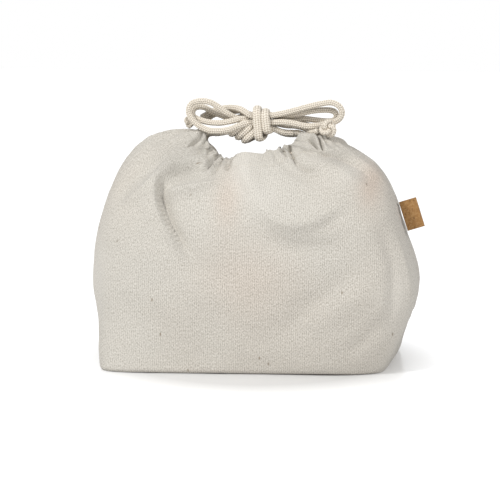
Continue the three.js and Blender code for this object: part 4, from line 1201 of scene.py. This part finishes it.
def baseMesh(name):
    size = baseSheet
    turn = np.linspace(0, 2 * np.pi, size["around"] + 1)
    edge = skinPoint(turn, np.zeros(len(turn)))
    outward = skinNormal(turn, np.zeros(len(turn)))
    edge[:, 2] = outward[:, 2] = 0
    outward /= np.linalg.norm(outward, axis=1)[:, None]
    share = np.linspace(size["hole"], 1, size["rings"])
    points = (edge - outward * size["inside"])[None] * share[:, None, None]
    lumps = softNoise(points, size["lumpSize"], size["seed"]) * (1 - share[:, None] ** 6)
    points[..., 2] = size["height"] + size["lump"] * lumps
    points[:, -1] = points[:, 0]
    obj = gridMesh(name, points[:, ::-1], points[:, ::-1, :2] * mm, canvasSkin)
    weld(obj, size["closeWithin"])
    facesUp = obj.data.polygons[len(obj.data.polygons) // 2].normal.z > 0
    thicken(obj, size["thickness"], -1.0 if facesUp else 1.0)
    return obj


setPiece(baseMesh("base_canvas"), "bag", "canvas", "base_panel")
print("seam tapes and base ready")

# The drawcords from the slits into the tunnels
runEnds = {
    "leftFront": [(-27.3, -2, 153.6), (-29.2, -2, 153.6), (-33, -2.4, 152.6), (-35.4, -3.6, 149.8),
                  (-34, -4.2, 146), (-29.2, -5.8, 141)],
    "leftBack": [(-27.3, 2, 152.2), (-29, 2, 152.2), (-32.2, 2.6, 151), (-34, 3.8, 148.4), (-33.2, 4.4, 145),
                 (-29, 5.9, 140.6)],
    "rightFront": [(27.3, -2, 153.6), (29.2, -2, 153.6), (33.2, -2.5, 152.4), (36, -3.6, 149),
                   (36, -5, 145.2), (33, -7.8, 141.8), (28, -11.8, 137.8)],
    "rightBack": [(27.3, 2, 152.2), (29.2, 2, 152.2), (33, 2.8, 150.8), (35, 4.2, 147.8), (34.8, 6.6, 144.6),
                  (32.2, 10.4, 141.4), (28, 14.2, 138)],
}
# Below is how far under the mouth's edge each cord lies, and bend how far it stands out where it turns back
heldCord = {"half": 21.5, "points": 9, "frontDepth": 5.8, "backDepth": 4.6, "bend": 9,
            "left": {"below": 4.8, "side": 1}, "right": {"below": 8.9, "side": -1}}


def heldRun(which):
    below, side = heldCord[which]["below"], heldCord[which]["side"]
    x = np.linspace(-heldCord["half"], heldCord["half"], heldCord["points"]) * side
    front = belowMouth(x, below, heldCord["frontDepth"])
    back = belowMouth(x, below, heldCord["backDepth"], True)[::-1]
    halfTurn = (abs(front[-1][1]) + abs(back[0][1])) / 2
    bend = []
    for degrees in (-60, -30, 0, 30, 60):
        a = math.radians(degrees)
        height = front[-1][2] + (back[0][2] - front[-1][2]) * (math.sin(a) + 1) / 2
        bend.append((front[-1][0] + side * heldCord["bend"] * math.cos(a), halfTurn * math.sin(a), height))
    start, end = runEnds[which + "Front"], runEnds[which + "Back"][::-1]
    return [*start, *map(tuple, front), *bend, *map(tuple, back), *end]


for which in ("left", "right"):
    line = smoothRoute(heldRun(which), cordSize["ring"])
    obj = cordMesh(which + "_cord_run", line, sides=cordSize["heldSides"], cutEnds=False)
    setPiece(obj, "bag", "cotton_cord", which + "_drawcord_run")
print("held cords ready")

# The folded tag. Gap is between its halves, root is how far it goes into the seam, and bow its curve across.
tagLook = {"place": (100.559, 0, 98.86), "turn": 17.93, "reach": 11.2, "height": 20.0, "sheet": 0.75,
           "gap": 0.4, "root": 0.6, "seam": 0.8, "bow": 0.25, "rows": 25, "foldFrom": 0.3, "foldSteps": 7,
           "edge": 0.12}


# The folded sheet's middle line, seen from above: one half, the round of the fold, and the other half. A half
# is given by places along the tag, each with its share of the distance from the middle.
def tagOutline(look):
    middle = look["gap"] / 2 + look["sheet"] / 2
    outer = look["reach"] - look["gap"] / 2 - look["sheet"]
    half = [(-look["root"], 0.6), (look["seam"], 0.9), (outer * 0.5, 1.02), (outer, 1.0)]
    angles = np.linspace(look["foldFrom"], math.pi - look["foldFrom"], look["foldSteps"])
    line = [(along, -middle * share) for along, share in half]
    line += [(outer + middle * math.sin(a), -middle * math.cos(a)) for a in angles]
    return np.array(line + [(along, middle * share) for along, share in half[::-1]])


def tagMesh(name):
    line = tagOutline(tagLook)
    heights = np.linspace(-tagLook["height"] / 2, tagLook["height"] / 2, tagLook["rows"])
    bow = tagLook["bow"] * np.sin(np.pi * (heights / tagLook["height"] + 0.5))
    points = np.zeros((len(heights), len(line), 3))
    points[..., 0] = line[None, :, 0]
    points[..., 1] = line[None, :, 1] + bow[:, None] * np.clip(line[None, :, 0] / tagLook["reach"], 0, 1)
    points[..., 2] = heights[:, None]
    points = rotated(points, 0, 2, tagLook["turn"]) + np.array(tagLook["place"])
    uv = np.stack(np.broadcast_arrays(runAlong(line)[None, :], heights[:, None]), -1) * mm
    obj = gridMesh(name, points, uv, corkSkin)
    thicken(obj, tagLook["sheet"], 0.0)
    edge = obj.modifiers.new("edges", "BEVEL")
    edge.width = tagLook["edge"] * mm
    edge.segments = 2
    edge.limit_method = "ANGLE"
    return obj


setPiece(tagMesh("folded_tag"), "tag", "cork", "cork_tag")
print("tag ready")

# A pale floor that fades to white round the bag (glow), and a soft world that the camera sees as white
stageLook = {
    "floor": (0.81, 0.81, 0.81, 1), "roughness": 0.22, "specular": 0.5, "size": 4.0,
    "glowScales": (1.12, 1.25, 1.0), "glowFrom": (0.1, 0.15), "glow": 0.48,
    "sky": (0.97, 0.98, 1.0, 1), "skyStrength": 0.42, "white": (1, 1, 1, 1),
}


# 1 for rays that show the background, straight, mirrored or through glass, and 0 for those that light the bag
def seenRays(tree):
    rays = newNode(tree, "ShaderNodeLightPath").outputs
    seen = calc(tree, "MAXIMUM", rays["Is Camera Ray"], rays["Is Glossy Ray"])
    return calc(tree, "MAXIMUM", seen, rays["Is Transmission Ray"])


def makeFloor(look):
    floorSkin, tree, shader = newMaterial("paleFloor", look["specular"])
    shader.inputs["Base Color"].default_value = look["floor"]
    shader.inputs["Roughness"].default_value = look["roughness"]
    shader.inputs["Emission Color"].default_value = look["white"]
    longer = newNode(tree, "ShaderNodeVectorMath", operation="MULTIPLY")
    feed(tree, longer.inputs[0], placeOf(tree))
    longer.inputs[1].default_value = look["glowScales"]
    apart = newNode(tree, "ShaderNodeVectorMath", operation="LENGTH")
    feed(tree, apart.inputs[0], longer.outputs[0])
    glow = rescale(tree, apart.outputs["Value"], look["glowFrom"], (0.0, look["glow"]))
    feed(tree, shader.inputs["Emission Strength"], calc(tree, "MULTIPLY", seenRays(tree), glow))
    bm = bmesh.new()
    bmesh.ops.create_grid(bm, x_segments=1, y_segments=1, size=look["size"])
    meshObject("floor", bm, floorSkin, False)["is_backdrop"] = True


def makeWorld(look):
    world = bpy.data.worlds.new("studio")
    bpy.context.scene.world = world
    world.use_nodes = True
    tree = world.node_tree
    tree.nodes.clear()
    both = newNode(tree, "ShaderNodeMixShader")
    feed(tree, both.inputs[0], seenRays(tree))
    for place, colour, strength in ((1, look["sky"], look["skyStrength"]), (2, look["white"], 1.0)):
        light = newNode(tree, "ShaderNodeBackground")
        light.inputs["Color"].default_value = colour
        light.inputs["Strength"].default_value = strength
        tree.links.new(light.outputs[0], both.inputs[place])
    out = newNode(tree, "ShaderNodeOutputWorld")
    tree.links.new(both.outputs[0], out.inputs[0])


lampLook = {
    "keyLight": {"place": (-0.72, -0.8, 1.0), "size": 0.26, "power": 12.1},
    "fillLight": {"place": (0.95, -0.85, 0.85), "size": 0.6, "power": 8.6},
}
lampAim = (0, 0, 0.08)


def areaLight(name, look):
    data = bpy.data.lights.new(name, "AREA")
    data.shape = "SQUARE"
    data.size = look["size"]
    data.energy = look["power"]
    obj = addObject(name, data)
    obj.location = look["place"]
    obj.rotation_euler = (Vector(lampAim) - Vector(look["place"])).to_track_quat("-Z", "Y").to_euler()


makeFloor(stageLook)
makeWorld(stageLook)
for name, look in lampLook.items():
    areaLight(name, look)
bpy.context.scene.view_settings.view_transform = "Standard"

sizes = {"cad": cadBounds, "visual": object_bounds()}
sizes = {name: [list(map(float, side)) for side in bounds] for name, bounds in sizes.items()}
print("scene ready")
